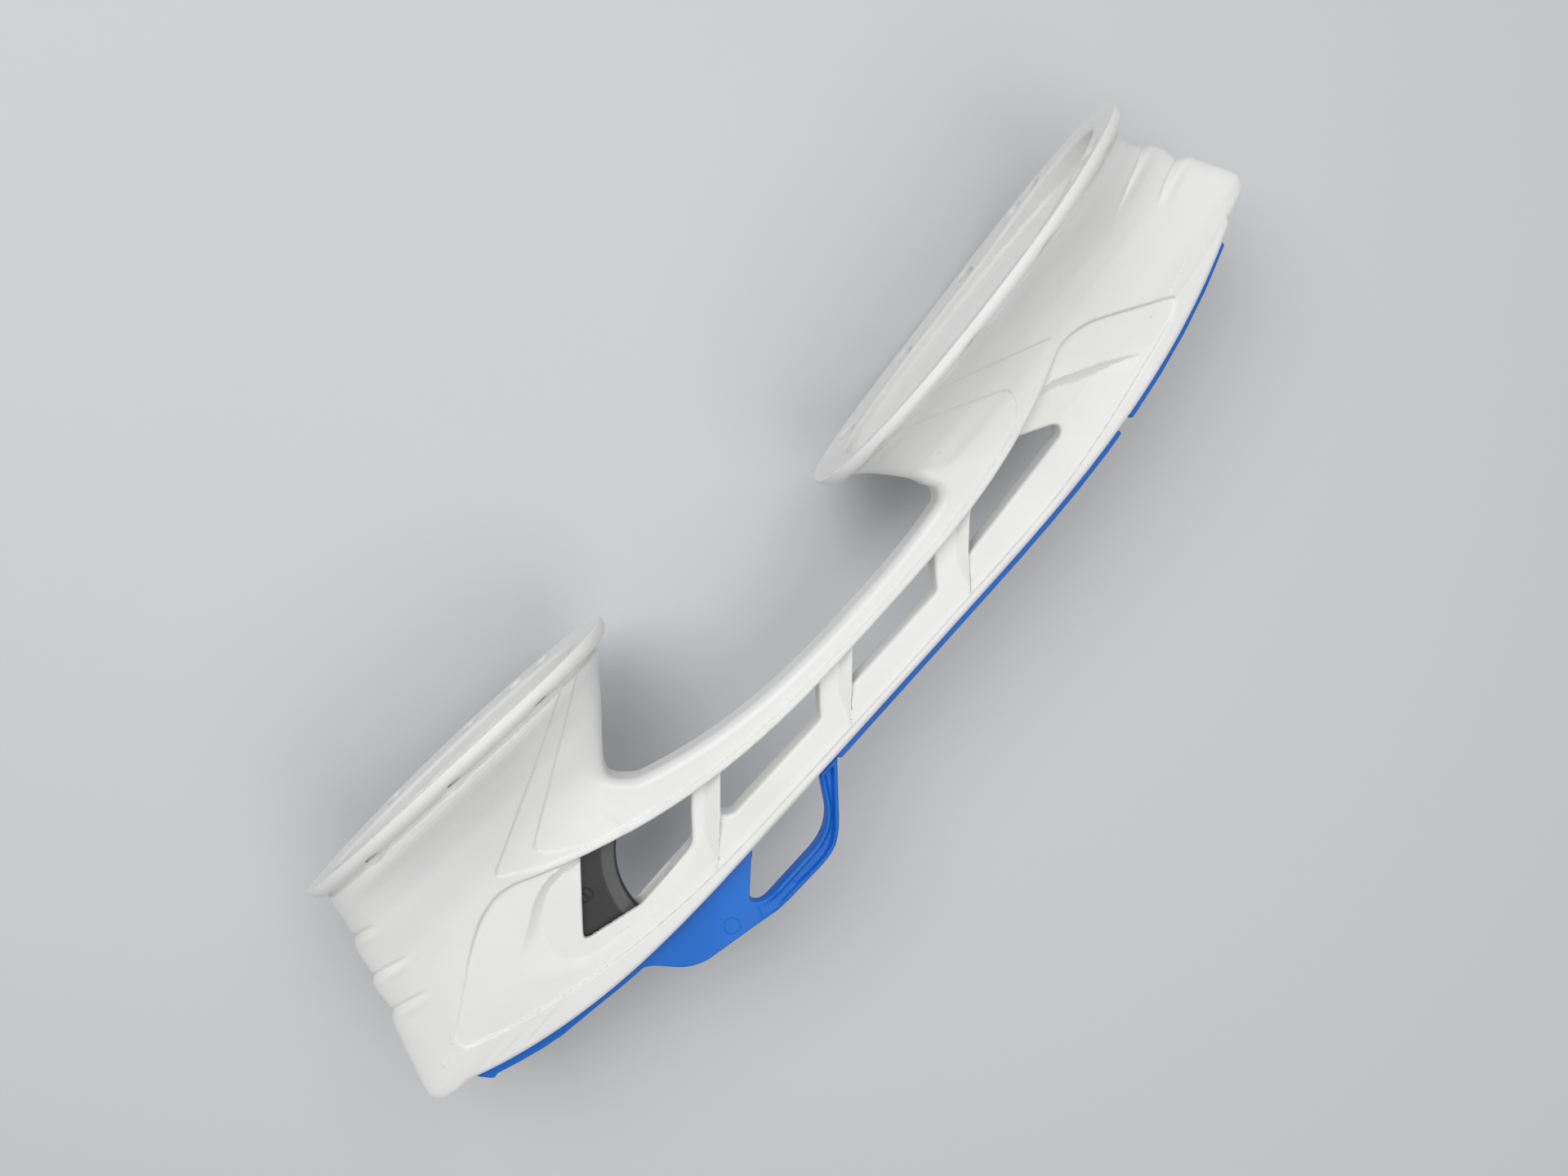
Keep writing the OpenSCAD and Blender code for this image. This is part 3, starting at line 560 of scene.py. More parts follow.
def webHalfOf(x, z, firstWindow):   # half the web's thickness
    w = webShape
    tower, share = np.interp(z, *w["tower"]), np.interp(x, *w["share"])
    half = w["half"] + (tower - holderShape["panelIn"] - w["half"]) * share
    for s in scoops:
        outerEnd, innerEnd = s["edge"][0][0], s["edge"][-1][0]
        below = scoopLean * (lineAt(x, s["edge"]) - z)
        above = z - lineAt(x, s["foot"])
        depth = s["deep"] * (1 - (1 - np.clip(below / s["run"], 0, 1)) ** 2) * ramp(above / s["soft"])
        inside = (x > outerEnd) & (x < innerEnd + scoopPast)
        half = half - depth * np.where(inside, ramp((x - outerEnd) / s["fade"]), 0)
    endAt, endRun = w["frameEnd"]
    frameHigh = ramp((w["frameWide"] - firstWindow) / w["frameSoft"])
    half = half + w["frameOut"] * frameHigh * ramp((endAt - x) / endRun)
    wallHalf, wallUnder = w["wallHalf"]
    half = np.maximum(half, np.interp(x, w["pocketWall"], (wallHalf, w["half"] - wallUnder)))
    for left, right in zip(struts[::2], struts[1::2]):
        fromX, toX = lineAt(z, left), lineAt(z, right)
        across = (x - fromX) / (toX - fromX)
        rib = w["half"] + (w["strutHalf"] - w["half"]) * np.clip(across, 0, 1)
        stepDown = w["strutStep"] * ramp((x - toX) / w["strutSoft"])
        half = np.maximum(half, np.where(across < 0, 0, rib - stepDown))
    up = railTop(x) + np.interp(x, *w["bandUp"])
    end = np.interp(x, *w["bandEnd"])
    slope = w["bandHalf"] - (w["bandHalf"] - w["half"] - w["bandOver"]) * (z - up) / (end - up)
    return np.maximum(half, np.minimum(slope, w["bandHalf"]))


def plateField(x, y, z, plate):
    px, _, pz = plateSpace(x, z, plate)
    flatFrom, flatRun = plateDetail["flatPast"]
    side = ovalField(px, y, -plate["rear"], plate["front"], plate["half"], *plate["powers"])
    dish = plate["dish"] * (1 - plate["flatter"] * ramp((px - flatFrom) / flatRun))
    over = pz + dish * np.clip(-side / plate["rim"], 0, 1)
    body = roundBoth(side, -plate["lip"] - pz, plate["tuck"])
    return roundBoth(body, over, plateDetail["edgeRound"])


def hollowField(x, y, z, plate):
    px, pz, _ = plateSpace(x, z, plate)
    rows = softRows(plate["hollow"])
    inset, half = (np.interp(pz, rows[:, 1], rows[:, c]) for c in (0, 2))
    reach = plate["reach"] - plate["rim"] - inset
    side = ovalField(px, y, -reach, reach, half, *plate["powers"])
    return roundBoth(side * plateDetail["hollowLean"], rows[0][1] - pz, plateDetail["floorRound"])


def plateHoles(x, y, z, plate):
    d = plateDetail
    px, _, pz = plateSpace(x, z, plate)
    reach, half = plate["reach"] - plate["inset"], plate["half"] - plate["inset"]
    out = None
    for places, floor, radius in (
            (plate["holes"], d["holeFloor"] - plate["lip"], d["holeRadius"]),
            (plate["dimples"], -plate["dish"] / 2 - d["dimpleDeep"], d["dimpleRadius"])):
        for hx in places:
            power = plate["powers"][0] if hx < 0 else plate["powers"][1]
            hy = half * (1 - (abs(hx) / reach) ** power) ** (1 / power)
            hole = np.maximum(np.hypot(px - hx, y - hy) - radius, floor - pz)
            out = hole if out is None else np.minimum(out, hole)
            if places is plate["holes"]:   # a shallow seat below the hole, cut into the flank
                nx = math.copysign((abs(hx) / reach) ** (power - 1) / reach, hx)
                ny = (hy / half) ** (power - 1) / half
                away = d["seatOut"] / math.hypot(nx, ny)
                level = np.hypot(px - hx - nx * away, y - hy - ny * away) / d["seatWide"]
                upright = (pz + plate["lip"] + d["seatBelow"]) / d["seatHigh"]
                out = np.minimum(out, d["seatHigh"] * (np.hypot(level, upright) - 1))
    return out


def neckLines(x, z):   # how far ahead of the heel tower's front edge and behind the toe tower's rear edge
    b = bridgeShape
    front, rear = np.interp(z, *b["heelNeck"]), np.interp(z, *b["toeNeck"])
    (heelFrom, heelLean), (toeFrom, toeLean) = b["heelLean"], b["toeLean"]
    return (x - front + b["neckApart"] + heelLean * np.maximum(z - heelFrom, 0),
            rear - x + b["neckApart"] + toeLean * np.maximum(z - toeFrom, 0))


def bridgeField(x, y, z, relief):   # the bar between the towers, with the saddle on top
    b = bridgeShape
    (heelAt, heelRun), (toeAt, toeRun), (middle, run), (top, fall) = (
        b[name] for name in ("heelEnd", "toeEnd", "middle", "top"))
    steep = 1.0 + b["steeper"] * ramp(np.abs(x - middle) / run)
    half = b["half"] - b["endIn"] * ramp((heelAt - x) / heelRun) - b["endIn"] * ramp((x - toeAt) / toeRun)
    ahead, behind = neckLines(x, z)
    over = roundJoin((z - rising(x, curves["saddle"])) / steep, ahead, b["heelRound"])
    bridge = roundBoth(y - half - relief, roundJoin(over, behind, b["toeRound"]), b["edgeRound"])
    under = bridgeUnder(x) - b["below"] - z
    ends = np.maximum(-b["reach"] - x, x - b["reach"])
    return np.maximum(np.maximum(bridge, under), np.maximum(ends, z - top + fall * np.maximum(x, 0)))


def railFoot(x, y, z):   # the rail's thick foot, narrower to both ends
    r = railShape
    (heelAt, heelRun), (toeAt, toeRun), (rear, front) = r["heelEnd"], r["toeEnd"], r["ends"]
    narrow = np.clip(np.maximum((heelAt - x) / heelRun, (x - toeAt) / toeRun), 0, r["mostNarrow"])
    half = r["half"] * (1 - narrow ** r["endPower"]) ** (1 / r["endPower"])
    foot = roundBoth(y - half, railLow(x) - z, r["edgeRound"])
    return np.maximum(foot, np.maximum(rear - x, x - front))


def holderField(x, yBoth, z):
    h, r, w, d = holderShape, railShape, webShape, plateDetail
    y = np.abs(yBoth)
    low = railLow(x)
    relief = skinRelief(x, z)
    towers = []
    for rings in (heelRings, toeRings):
        side, below, above = ringField(x, y, z, rings, relief)
        towers.append(np.maximum(roundBoth(side, below, h["towerRound"]), above))
    body = roundJoin(np.minimum(*towers), bridgeField(x, y, z, relief), h["joinRound"])
    foot = railFoot(x, y, z)
    fillRear, fillFront = r["fillPast"]
    filled = np.maximum(np.maximum(foot, z - low - r["fillUp"]), np.minimum(fillFront - x, x - fillRear))
    body = roundJoin(body, filled, h["footJoin"])
    panel = outlineField(x, z, panelOutline)
    body = roundCut(body, panel, h["panelRound"])
    windows = [outlineField(x, z, outline) for outline in windowOutlines]
    web = np.maximum(y - webHalfOf(x, z, windows[0]), panel - h["panelPast"])
    windowRound = np.interp(x, w["roundPast"], (w["pocketRound"], w["windowRound"]))
    web = roundCut(web, np.minimum.reduce(windows), windowRound)
    body = roundJoin(body, web, h["joinRound"])
    band = roundBoth(foot, z - low - railBand(x), h["bandRound"])
    bandJoin, bandMore = h["bandJoin"]
    body = roundJoin(body, band, bandJoin + bandMore * ramp(0.5 - panel))
    for plate in plates.values():
        body = roundJoin(body, plateField(x, y, z, plate), h["plateJoin"])
    for plate in plates.values():
        body = roundCut(body, hollowField(x, y, z, plate), h["hollowRound"])
        body = roundCut(body, plateHoles(x, y, z, plate), h["holeRound"])
    slot = np.maximum(y - h["slotHalf"], z - low - h["slotDepth"])
    slot = np.maximum(slot, np.abs(x - h["slotMiddle"]) - h["slotReach"])
    hook = np.maximum(outlineField(x, z, hookOutline), y - h["slotHalf"])
    pocket = np.maximum(outlineField(x, z, pocketOutline), y - h["pocketHalf"])
    body = np.maximum(body, -np.minimum(np.minimum(slot, hook), pocket))
    px, pz, radius = h["pin"]
    bore = np.maximum(np.hypot(x - px, z - pz) - radius, h["pinFrom"] - yBoth)
    return np.maximum(body, -bore)


# The blue insert that fills the blade slot
insertShape = {
    "box": ((-133.4, -3.0, -17.2), (129.4, 3.0, 21.0)),
    "cell": 0.4,
    "triangles": 110000,
    "half": 1.45,
    "edgeRound": 0.35,
    "out": 2.2,                # how far the strip stands out of the slot
    "heelOut": (-102, 14, 1.0),   # and more at the heel: from where, over what run, how much
    "mark": (-67.8, -9.9, 1.95),
    "markIn": 0.16,
    "markWide": 0.22,
    "barHalf": 2.4,
    "barFrom": (-61, 8),       # the bar and its grooves fade into the tab
    "barRound": 0.8,
    "barJoin": 0.5,
    "grooveIn": 1.3,
    "grooveEdge": 0.85,
    "grooveSoft": 0.7,
}


def stripLow(x):
    heelFrom, heelRun, more = insertShape["heelOut"]
    return railLow(x) - insertShape["out"] - more * ramp((heelFrom - x) / heelRun)


stripOutline = corners(alongLine(railLow, 128.2, -66.6, 5.6, 17)
                       + [(-70.2, 5.6, 0), (-70.2, 4, 0), (-66.6, 4, 0)]
                       + alongLine(railLow, -66.6, -104.8, 0.8, 6)
                       + alongLine(railLow, -104.8, -132.4, 5.6, 5)
                       + [(-132.4, 11.6, 0.5), (-130.4, 8.4, 1)]
                       + alongLine(stripLow, -129, -52, 0, 15) + [(-49.6, 0.2, 0), (-22.2, 0.2, 0)]
                       + alongLine(stripLow, -20.6, 128.2, 0, 15))
catchOutline = corners([(105.6, 10, 0), (112.2, 10, 0), (112.2, 17, 0), (118, 17, 0), (118, 20, 0),
                        (105.6, 20, 0)])
tabOutline = corners([(-91.4, 2.5, 1), (-88.6, -0.4, 1.6), (-86.6, -1.9, 1.5), (-82.2, -8.3, 2.5),
                      (-78.2, -10.9, 2), (-58.1, -15.5, 0), (-50, -15.5, 0), (-50, 0.8, 0)])
loopHole = corners([(-50.2, -0.4, 0.6), (-60.6, -9, 1.8), (-58.2, -11.7, 1.8), (-44, -11.9, 0),
                    (-44, 2, 0), (-49.6, 2, 0)])
barOuter = [(-62, -14.4, 0), (-57.5, -15.7, 2), (-38.6, -16.3, 5), (-33.6, -13.4, 3), (-20.6, -0.6, 0)]
barInner = [(-60, -11, 0), (-56, -11.6, 0), (-38.6, -11.8, 4), (-33, -9, 3), (-26.8, -0.6, 0)]
barOutline = corners(barOuter + barInner[::-1])
rootOutline = corners([(-27.2, -1.4, 0), (-20.8, -1.4, 0), (-18.4, 1, 0), (-25.6, 1, 0)])
notchOutline = corners([(80.1, -5, 0), (84.5, -5, 0), (84.5, 3.8, 1.2), (80.1, 3.8, 0)])


def insertField(x, yBoth, z):
    s = insertShape
    y = np.abs(yBoth)
    tab = np.maximum(outlineField(x, z, tabOutline), -outlineField(x, z, loopHole))
    flat = np.minimum.reduce([outlineField(x, z, stripOutline), outlineField(x, z, catchOutline), tab,
                              outlineField(x, z, rootOutline)])
    flat = np.maximum(flat, -outlineField(x, z, notchOutline))
    mx, mz, mr = s["mark"]
    ring = np.exp(-((np.hypot(x - mx, z - mz) - mr) / s["markWide"]) ** 2) * (yBoth < 0)
    plain = roundBoth(y - s["half"] + s["markIn"] * ring, flat, s["edgeRound"])
    bar = outlineField(x, z, barOutline)
    barFrom, barRun = s["barFrom"]
    taper = ramp((x - barFrom) / barRun)
    groove = s["grooveIn"] * taper * ramp((-bar - s["grooveEdge"]) / s["grooveSoft"])
    barHalf = s["half"] + (s["barHalf"] - s["half"]) * taper - groove
    return roundJoin(plain, roundBoth(y - barHalf, bar, s["barRound"]), s["barJoin"])


# The black trigger with a hollow finger face
triggerShape = {
    "box": ((-96.4, -3.0, 1.0), (-65.2, 3.0, 46.0)),
    "cell": 0.3,
    "triangles": 60000,
    "half": 2.4,
    "edgeRound": 0.3,
    "boreRound": 0.2,
    "face": (-58.0, 8.2, 20.1),
    "faceTurn": (180, 118, 24),   # degrees from and to, and points along it
    "bevelIn": 3.5,
    "bevelSide": 1.5,
    "bevelLow": 4.5,
    "pin": (-86.0, 40.0, 1.56),
    "boss": 4.4,
    "mark": (-83.6, 21.9, 1.7),
    "markIn": 0.3,
    "markWide": 0.24,
    "spokeWide": 0.16,
    "spokeEnd": 0.4,
}


def faceArc(t):
    fx, fz, fr = t["face"]
    turns = np.radians(np.linspace(*t["faceTurn"]))
    return [(fx + fr * math.cos(a), fz + fr * math.sin(a), 0) for a in turns]


triggerOutline = corners(faceArc(triggerShape)
                         + [(-66.9, 29.6, 1.5), (-80.6, 43.4, 4), (-91.2, 41.5, 4), (-93.4, 24, 3),
                            (-95, 12.5, 2), (-93.5, 5.4, 1.2), (-84, 3.2, 1), (-68.4, 1.9, 0.4),
                            (-68.4, 3.5, 0.4), (-77.4, 3.5, 0.6)])


def triggerField(x, yBoth, z):
    t = triggerShape
    y = np.abs(yBoth)
    px, pz, pr = t["pin"]
    toPin = np.hypot(x - px, z - pz)
    flat = np.minimum(outlineField(x, z, triggerOutline), toPin - t["boss"])
    fx, fz, fr = t["face"]
    inFace = np.hypot(x - fx, z - fz) - fr
    half = t["half"] - t["bevelSide"] * (1 - np.clip(inFace / t["bevelIn"], 0, 1)) * (z > t["bevelLow"])
    mx, mz, mr = t["mark"]
    toMark = np.hypot(x - mx, z - mz)
    ring = np.exp(-((toMark - mr) / t["markWide"]) ** 2)
    spoke = np.exp(-((x - mx) / t["spokeWide"]) ** 2) * (toMark < mr - t["spokeEnd"])
    half = half - t["markIn"] * np.maximum(ring, spoke) * (yBoth < 0)
    body = roundBoth(y - half, flat, t["edgeRound"])
    return roundCut(body, toPin - pr, t["boreRound"])


# Materials. Each group gives masks and heights that change over the surface.
def fill(tree, node, inputs):   # a socket is linked to the node's input, a plain value is set
    for label, value in inputs.items():
        if isinstance(value, bpy.types.NodeSocket):
            tree.links.new(value, node.inputs[label])
        else:
            node.inputs[label].default_value = value
    return node


def newNode(tree, kind, inputs):
    return fill(tree, tree.nodes.new(kind), inputs)


def newGroup(name, inputs, outputs):
    tree = bpy.data.node_groups.new(name, "ShaderNodeTree")
    for label, value in inputs.items():
        socket = tree.interface.new_socket(label, in_out="INPUT", socket_type="NodeSocketFloat")
        socket.default_value = value
    for label in outputs:
        tree.interface.new_socket(label, in_out="OUTPUT", socket_type="NodeSocketFloat")
    where = tree.nodes.new("ShaderNodeTexCoord").outputs["Object"]
    return tree, tree.nodes.new("NodeGroupInput").outputs, tree.nodes.new("NodeGroupOutput"), where


def mathNode(tree, kind, a, b, clamp=False):
    node = newNode(tree, "ShaderNodeMath", {0: a, 1: b})
    node.operation = kind
    node.use_clamp = clamp
    return node.outputs[0]


def noiseNode(tree, where, size, detail, rough, stretch=None):   # size is in waves to a metre
    if stretch:
        where = newNode(tree, "ShaderNodeMapping", {"Scale": stretch, "Vector": where}).outputs[0]
    noise = newNode(tree, "ShaderNodeTexNoise",
                    {"Vector": where, "Scale": size, "Detail": detail, "Roughness": rough})
    return noise.outputs["Fac"]


def rangeNode(tree, value, low, high, outLow=0.0, outHigh=1.0):
    node = newNode(tree, "ShaderNodeMapRange", {"Value": value, "From Min": low, "From Max": high,
                                                "To Min": outLow, "To Max": outHigh})
    node.clamp = True
    return node.outputs["Result"]


def makeMouldedSkin():   # the fine grain and slow clouding of a moulded plastic surface
    tree, given, result, where = newGroup("mouldedSkin", {"Grain Size": 2600.0, "Cloud Size": 45.0},
                                          ["Grain", "Cloud", "Flow"])
    grain = noiseNode(tree, where, given["Grain Size"], detail=3, rough=0.6)
    cloud = noiseNode(tree, where, given["Cloud Size"], detail=4, rough=0.55)
    flow = noiseNode(tree, where, 60.0, detail=3, rough=0.5, stretch=(0.35, 1.0, 1.6))
    fill(tree, result, {"Grain": grain, "Cloud": rangeNode(tree, cloud, low=0.3, high=0.7),
                        "Flow": rangeNode(tree, flow, low=0.35, high=0.68)})
    return tree


def makeHandling():   # thin scratches, dust specks and dirt that gathers low on a piece
    tree, given, result, where = newGroup(
        "handlingWear", {"Dirt Height": 0.0, "Dirt Reach": 0.01, "Dirt Front": 1.0},
        ["Scratch", "Speck", "Dirt"])
    frontRun = 0.03   # metres over which the dirt fades towards its front end
    lines = noiseNode(tree, where, 700.0, detail=2, rough=0.5, stretch=(0.08, 1.0, 1.3))
    patches = noiseNode(tree, where, 35.0, detail=2, rough=0.5)
    scratch = mathNode(tree, "MULTIPLY", rangeNode(tree, lines, low=0.69, high=0.74),
                       rangeNode(tree, patches, low=0.52, high=0.64))
    cells = newNode(tree, "ShaderNodeTexVoronoi", {"Scale": 210.0, "Vector": where})
    rare = noiseNode(tree, where, 90.0, detail=1, rough=0.5)
    speck = mathNode(tree, "MULTIPLY", rangeNode(tree, cells.outputs["Distance"], low=0.07, high=0.03),
                     rangeNode(tree, rare, low=0.60, high=0.66))
    parts = newNode(tree, "ShaderNodeSeparateXYZ", {0: where}).outputs
    depth = mathNode(tree, "SUBTRACT", given["Dirt Height"], parts["Z"])
    share = mathNode(tree, "DIVIDE", depth, given["Dirt Reach"], clamp=True)
    behind = mathNode(tree, "SUBTRACT", given["Dirt Front"], parts["X"])
    share = mathNode(tree, "MULTIPLY", share, mathNode(tree, "DIVIDE", behind, frontRun, clamp=True))
    smear = noiseNode(tree, where, 420.0, detail=4, rough=0.6, stretch=(0.12, 1.0, 1.6))
    smear = rangeNode(tree, smear, low=0.56, high=0.70)
    fill(tree, result, {"Scratch": scratch, "Speck": speck, "Dirt": mathNode(tree, "MULTIPLY", share, smear)})
    return tree


def makeFaceBand():   # painted highlight: a lighter, uneven ring on the bevel around the trigger's finger face, standing in for the light that the glossy bevel reflects
    tree, given, result, where = newGroup(
        "faceBand", {"Centre X": 0.0, "Centre Z": 0.0, "Inner": 0.02, "Outer": 0.023, "Lowest": -1.0},
        ["Band"])
    soft, softLow = 0.0004, 0.0006   # metres over which its sides and its lower end fade
    parts = newNode(tree, "ShaderNodeSeparateXYZ", {0: where}).outputs
    across = mathNode(tree, "SUBTRACT", parts["X"], given["Centre X"])
    upward = mathNode(tree, "SUBTRACT", parts["Z"], given["Centre Z"])
    square = mathNode(tree, "ADD", mathNode(tree, "MULTIPLY", across, across),
                      mathNode(tree, "MULTIPLY", upward, upward))
    away = mathNode(tree, "SQRT", square, 0.0)
    uneven = noiseNode(tree, where, 900.0, detail=4, rough=0.6)
    band = rangeNode(tree, uneven, low=0.25, high=0.75, outLow=0.7, outHigh=1.0)
    for more, less, run in ((given["Outer"], away, soft), (away, given["Inner"], soft),
                            (parts["Z"], given["Lowest"], softLow)):
        edge = mathNode(tree, "DIVIDE", mathNode(tree, "SUBTRACT", more, less), run, clamp=True)
        band = mathNode(tree, "MULTIPLY", band, edge)
    fill(tree, result, {"Band": band})
    return tree


mouldedSkin, handlingWear, faceBand = makeMouldedSkin(), makeHandling(), makeFaceBand()
plastic = {"metal": 0.0, "shine": 0.5, "dirt": 0.1, "dirtHeight": -0.04, "dirtReach": 0.01, "dirtFront": 1.0}
steel = {**plastic, "metal": 1.0, "dirtColour": (0.2, 0.19, 0.18), "speck": 0.1}
finishes = {
    "holder": {**plastic, "colour": (0.80, 0.80, 0.79), "shade": (0.74, 0.735, 0.72),
               "dirtColour": (0.30, 0.28, 0.25), "rough": 0.30, "roughMore": 0.10,
               "grain": 0.10, "grainSize": 2200.0, "scratch": 0.35, "speck": 0.4,
               "dirt": 0.6, "dirtHeight": -0.034, "dirtFront": -0.168},
    "slot_insert": {**plastic, "colour": (0.010, 0.155, 0.61), "shade": (0.008, 0.125, 0.52),
                    "dirtColour": (0.04, 0.14, 0.42), "rough": 0.34, "roughMore": 0.12, "shine": 0.3,
                    "grain": 0.14, "grainSize": 2600.0, "scratch": 0.5, "speck": 0.3,
                    "dirt": 0.2, "dirtHeight": -0.058},
    "release_trigger": {**plastic, "colour": (0.030, 0.030, 0.031), "shade": (0.023, 0.023, 0.024),
                        "dirtColour": (0.12, 0.12, 0.12), "rough": 0.42, "roughMore": 0.14,
                        "grain": 0.22, "grainSize": 3000.0, "scratch": 0.4, "speck": 0.4,
                        # the lighter colour of the finger face's bevel ring is a painted highlight, not wear
                        "bandColour": (0.11, 0.11, 0.11),
                        "band": {"Centre X": -0.136, "Centre Z": -0.0416, "Inner": 0.0204,
                                 "Outer": 0.0236, "Lowest": -0.0446}},
    "trigger_pin": {**steel, "colour": (0.56, 0.56, 0.57), "shade": (0.47, 0.47, 0.48), "rough": 0.28,
                    "roughMore": 0.15, "grain": 0.06, "grainSize": 4200.0, "scratch": 0.5,
                    "dirtHeight": -0.02},
    "return_spring": {**steel, "colour": (0.62, 0.62, 0.64), "shade": (0.52, 0.52, 0.54), "rough": 0.24,
                      "roughMore": 0.12, "grain": 0.05, "grainSize": 5200.0, "scratch": 0.3},
}


def placeGroup(tree, group, values):
    node = tree.nodes.new("ShaderNodeGroup")
    node.node_tree = group
    return fill(tree, node, values).outputs


def mixColour(tree, share, a, b):
    node = newNode(tree, "ShaderNodeMix", {"Factor": share})
    node.data_type = "RGBA"
    for label, value in (("A", a), ("B", b)):
        socket = [s for s in node.inputs if s.name == label and s.type == "RGBA"][0]
        if isinstance(value, tuple):
            socket.default_value = (*value, 1.0)
        else:
            tree.links.new(value, socket)
    return [s for s in node.outputs if s.type == "RGBA"][0]


surface = {
    "cloud": 0.7,          # share of the clouding that changes the colour
    "scratchTint": 0.3,    # shares of the scratches in the colour and in the roughness
    "scratchRough": 0.25,
    "deep": 0.00015,       # metres, the bump's full depth
}


def makeFinish(name, finish):
    material = bpy.data.materials.new(name)
    material.use_nodes = True
    tree = material.node_tree
    skin = placeGroup(tree, mouldedSkin, {"Grain Size": finish["grainSize"]})
    wear = placeGroup(tree, handlingWear, {"Dirt Height": finish["dirtHeight"],
                                           "Dirt Reach": finish["dirtReach"],
                                           "Dirt Front": finish["dirtFront"]})
    clouded = mathNode(tree, "MULTIPLY", skin["Cloud"], surface["cloud"])
    colour = mixColour(tree, clouded, finish["colour"], finish["shade"])
    for label, share in (("Dirt", finish["dirt"]), ("Speck", finish["speck"]),
                         ("Scratch", surface["scratchTint"] * finish["scratch"])):
        mark = mathNode(tree, "MULTIPLY", wear[label], share)
        colour = mixColour(tree, mark, colour, finish["dirtColour"])
    # painted highlight: the trigger's bevel ring is mixed towards a lighter colour
    if "band" in finish:
        band = placeGroup(tree, faceBand, finish["band"])["Band"]
        colour = mixColour(tree, band, colour, finish["bandColour"])
    rough = rangeNode(tree, skin["Flow"], 0, 1, finish["rough"], finish["rough"] + finish["roughMore"])
    worn = mathNode(tree, "MULTIPLY", wear["Scratch"], surface["scratchRough"] * finish["scratch"])
    cut = mathNode(tree, "MULTIPLY", wear["Scratch"], finish["scratch"])
    bump = newNode(tree, "ShaderNodeBump", {"Strength": finish["grain"], "Distance": surface["deep"],
                                            "Height": mathNode(tree, "SUBTRACT", skin["Grain"], cut)})
    fill(tree, tree.nodes["Principled BSDF"],
         {"Base Color": colour, "Roughness": mathNode(tree, "ADD", rough, worn, clamp=True),
          "Metallic": finish["metal"], "Specular IOR Level": finish["shine"],
          "Normal": bump.outputs["Normal"]})
    return material


materials = {name: makeFinish(name, finish) for name, finish in finishes.items()}
for name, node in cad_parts.items():
    node.data.materials.clear()
    node.data.materials.append(materials[name])
print("materials are made")

makePiece("holderSkin", holderField, holderShape, "holder_body", "holder")
makePiece("insertSkin", insertField, insertShape, "insert_body", "slot_insert")
makePiece("triggerSkin", triggerField, triggerShape, "trigger_body", "release_trigger")

# The steel pin, turned about its own axis
pinShape = {"axis": (-86.0, 40.0), "from": -5.0, "to": 6.4, "radius": 1.5, "chamfer": 0.3, "dimple": 0.6,
            "dimpleEdge": 0.1, "dimpleDeep": 0.35, "sides": 48,
            "weld": 1e-6, "sharpFrom": 30}   # metres and degrees


def makePin(p):
    r, c = p["radius"], p["chamfer"]
    rim, edge, sides = p["dimple"], p["dimpleEdge"], p["sides"]
    profile = [(0, p["from"]), (r - c, p["from"]), (r, p["from"] + c), (r, p["to"] - c), (r - c, p["to"]),
               (rim + edge, p["to"]), (rim, p["to"] - edge), (0, p["to"] - p["dimpleDeep"])]
    points, faces = [], []
    for radius, y in profile:
        for i in range(sides):
            a = 2 * math.pi * i / sides
            points.append((p["axis"][0] + radius * math.cos(a), y, p["axis"][1] + radius * math.sin(a)))
    for k in range(len(profile) - 1):
        for i in range(sides):
            j = (i + 1) % sides
            faces.append((k * sides + i, k * sides + j, (k + 1) * sides + j, (k + 1) * sides + i))
    mesh = bpy.data.meshes.new("pinSteel")
    mesh.from_pydata(toFrame(points).tolist(), [], faces)
    turnOutward(mesh, p["weld"])
    mesh.set_sharp_from_angle(angle=math.radians(p["sharpFrom"]))
    mesh.materials.append(materials["trigger_pin"])
    pin = addObject("pinSteel", mesh)
    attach(pin, "holder_body")
    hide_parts("trigger_pin")
    print("pinSteel has", len(mesh.polygons), "faces")


makePin(pinShape)

# The return spring, wound along X by Geometry Nodes
springShape = {"from": -105.7, "to": -95.5, "height": 14.0, "turns": 6.0, "coil": 1.7, "wire": 0.28,
               "steps": 40, "sides": 12}   # points to a turn, and around the wire


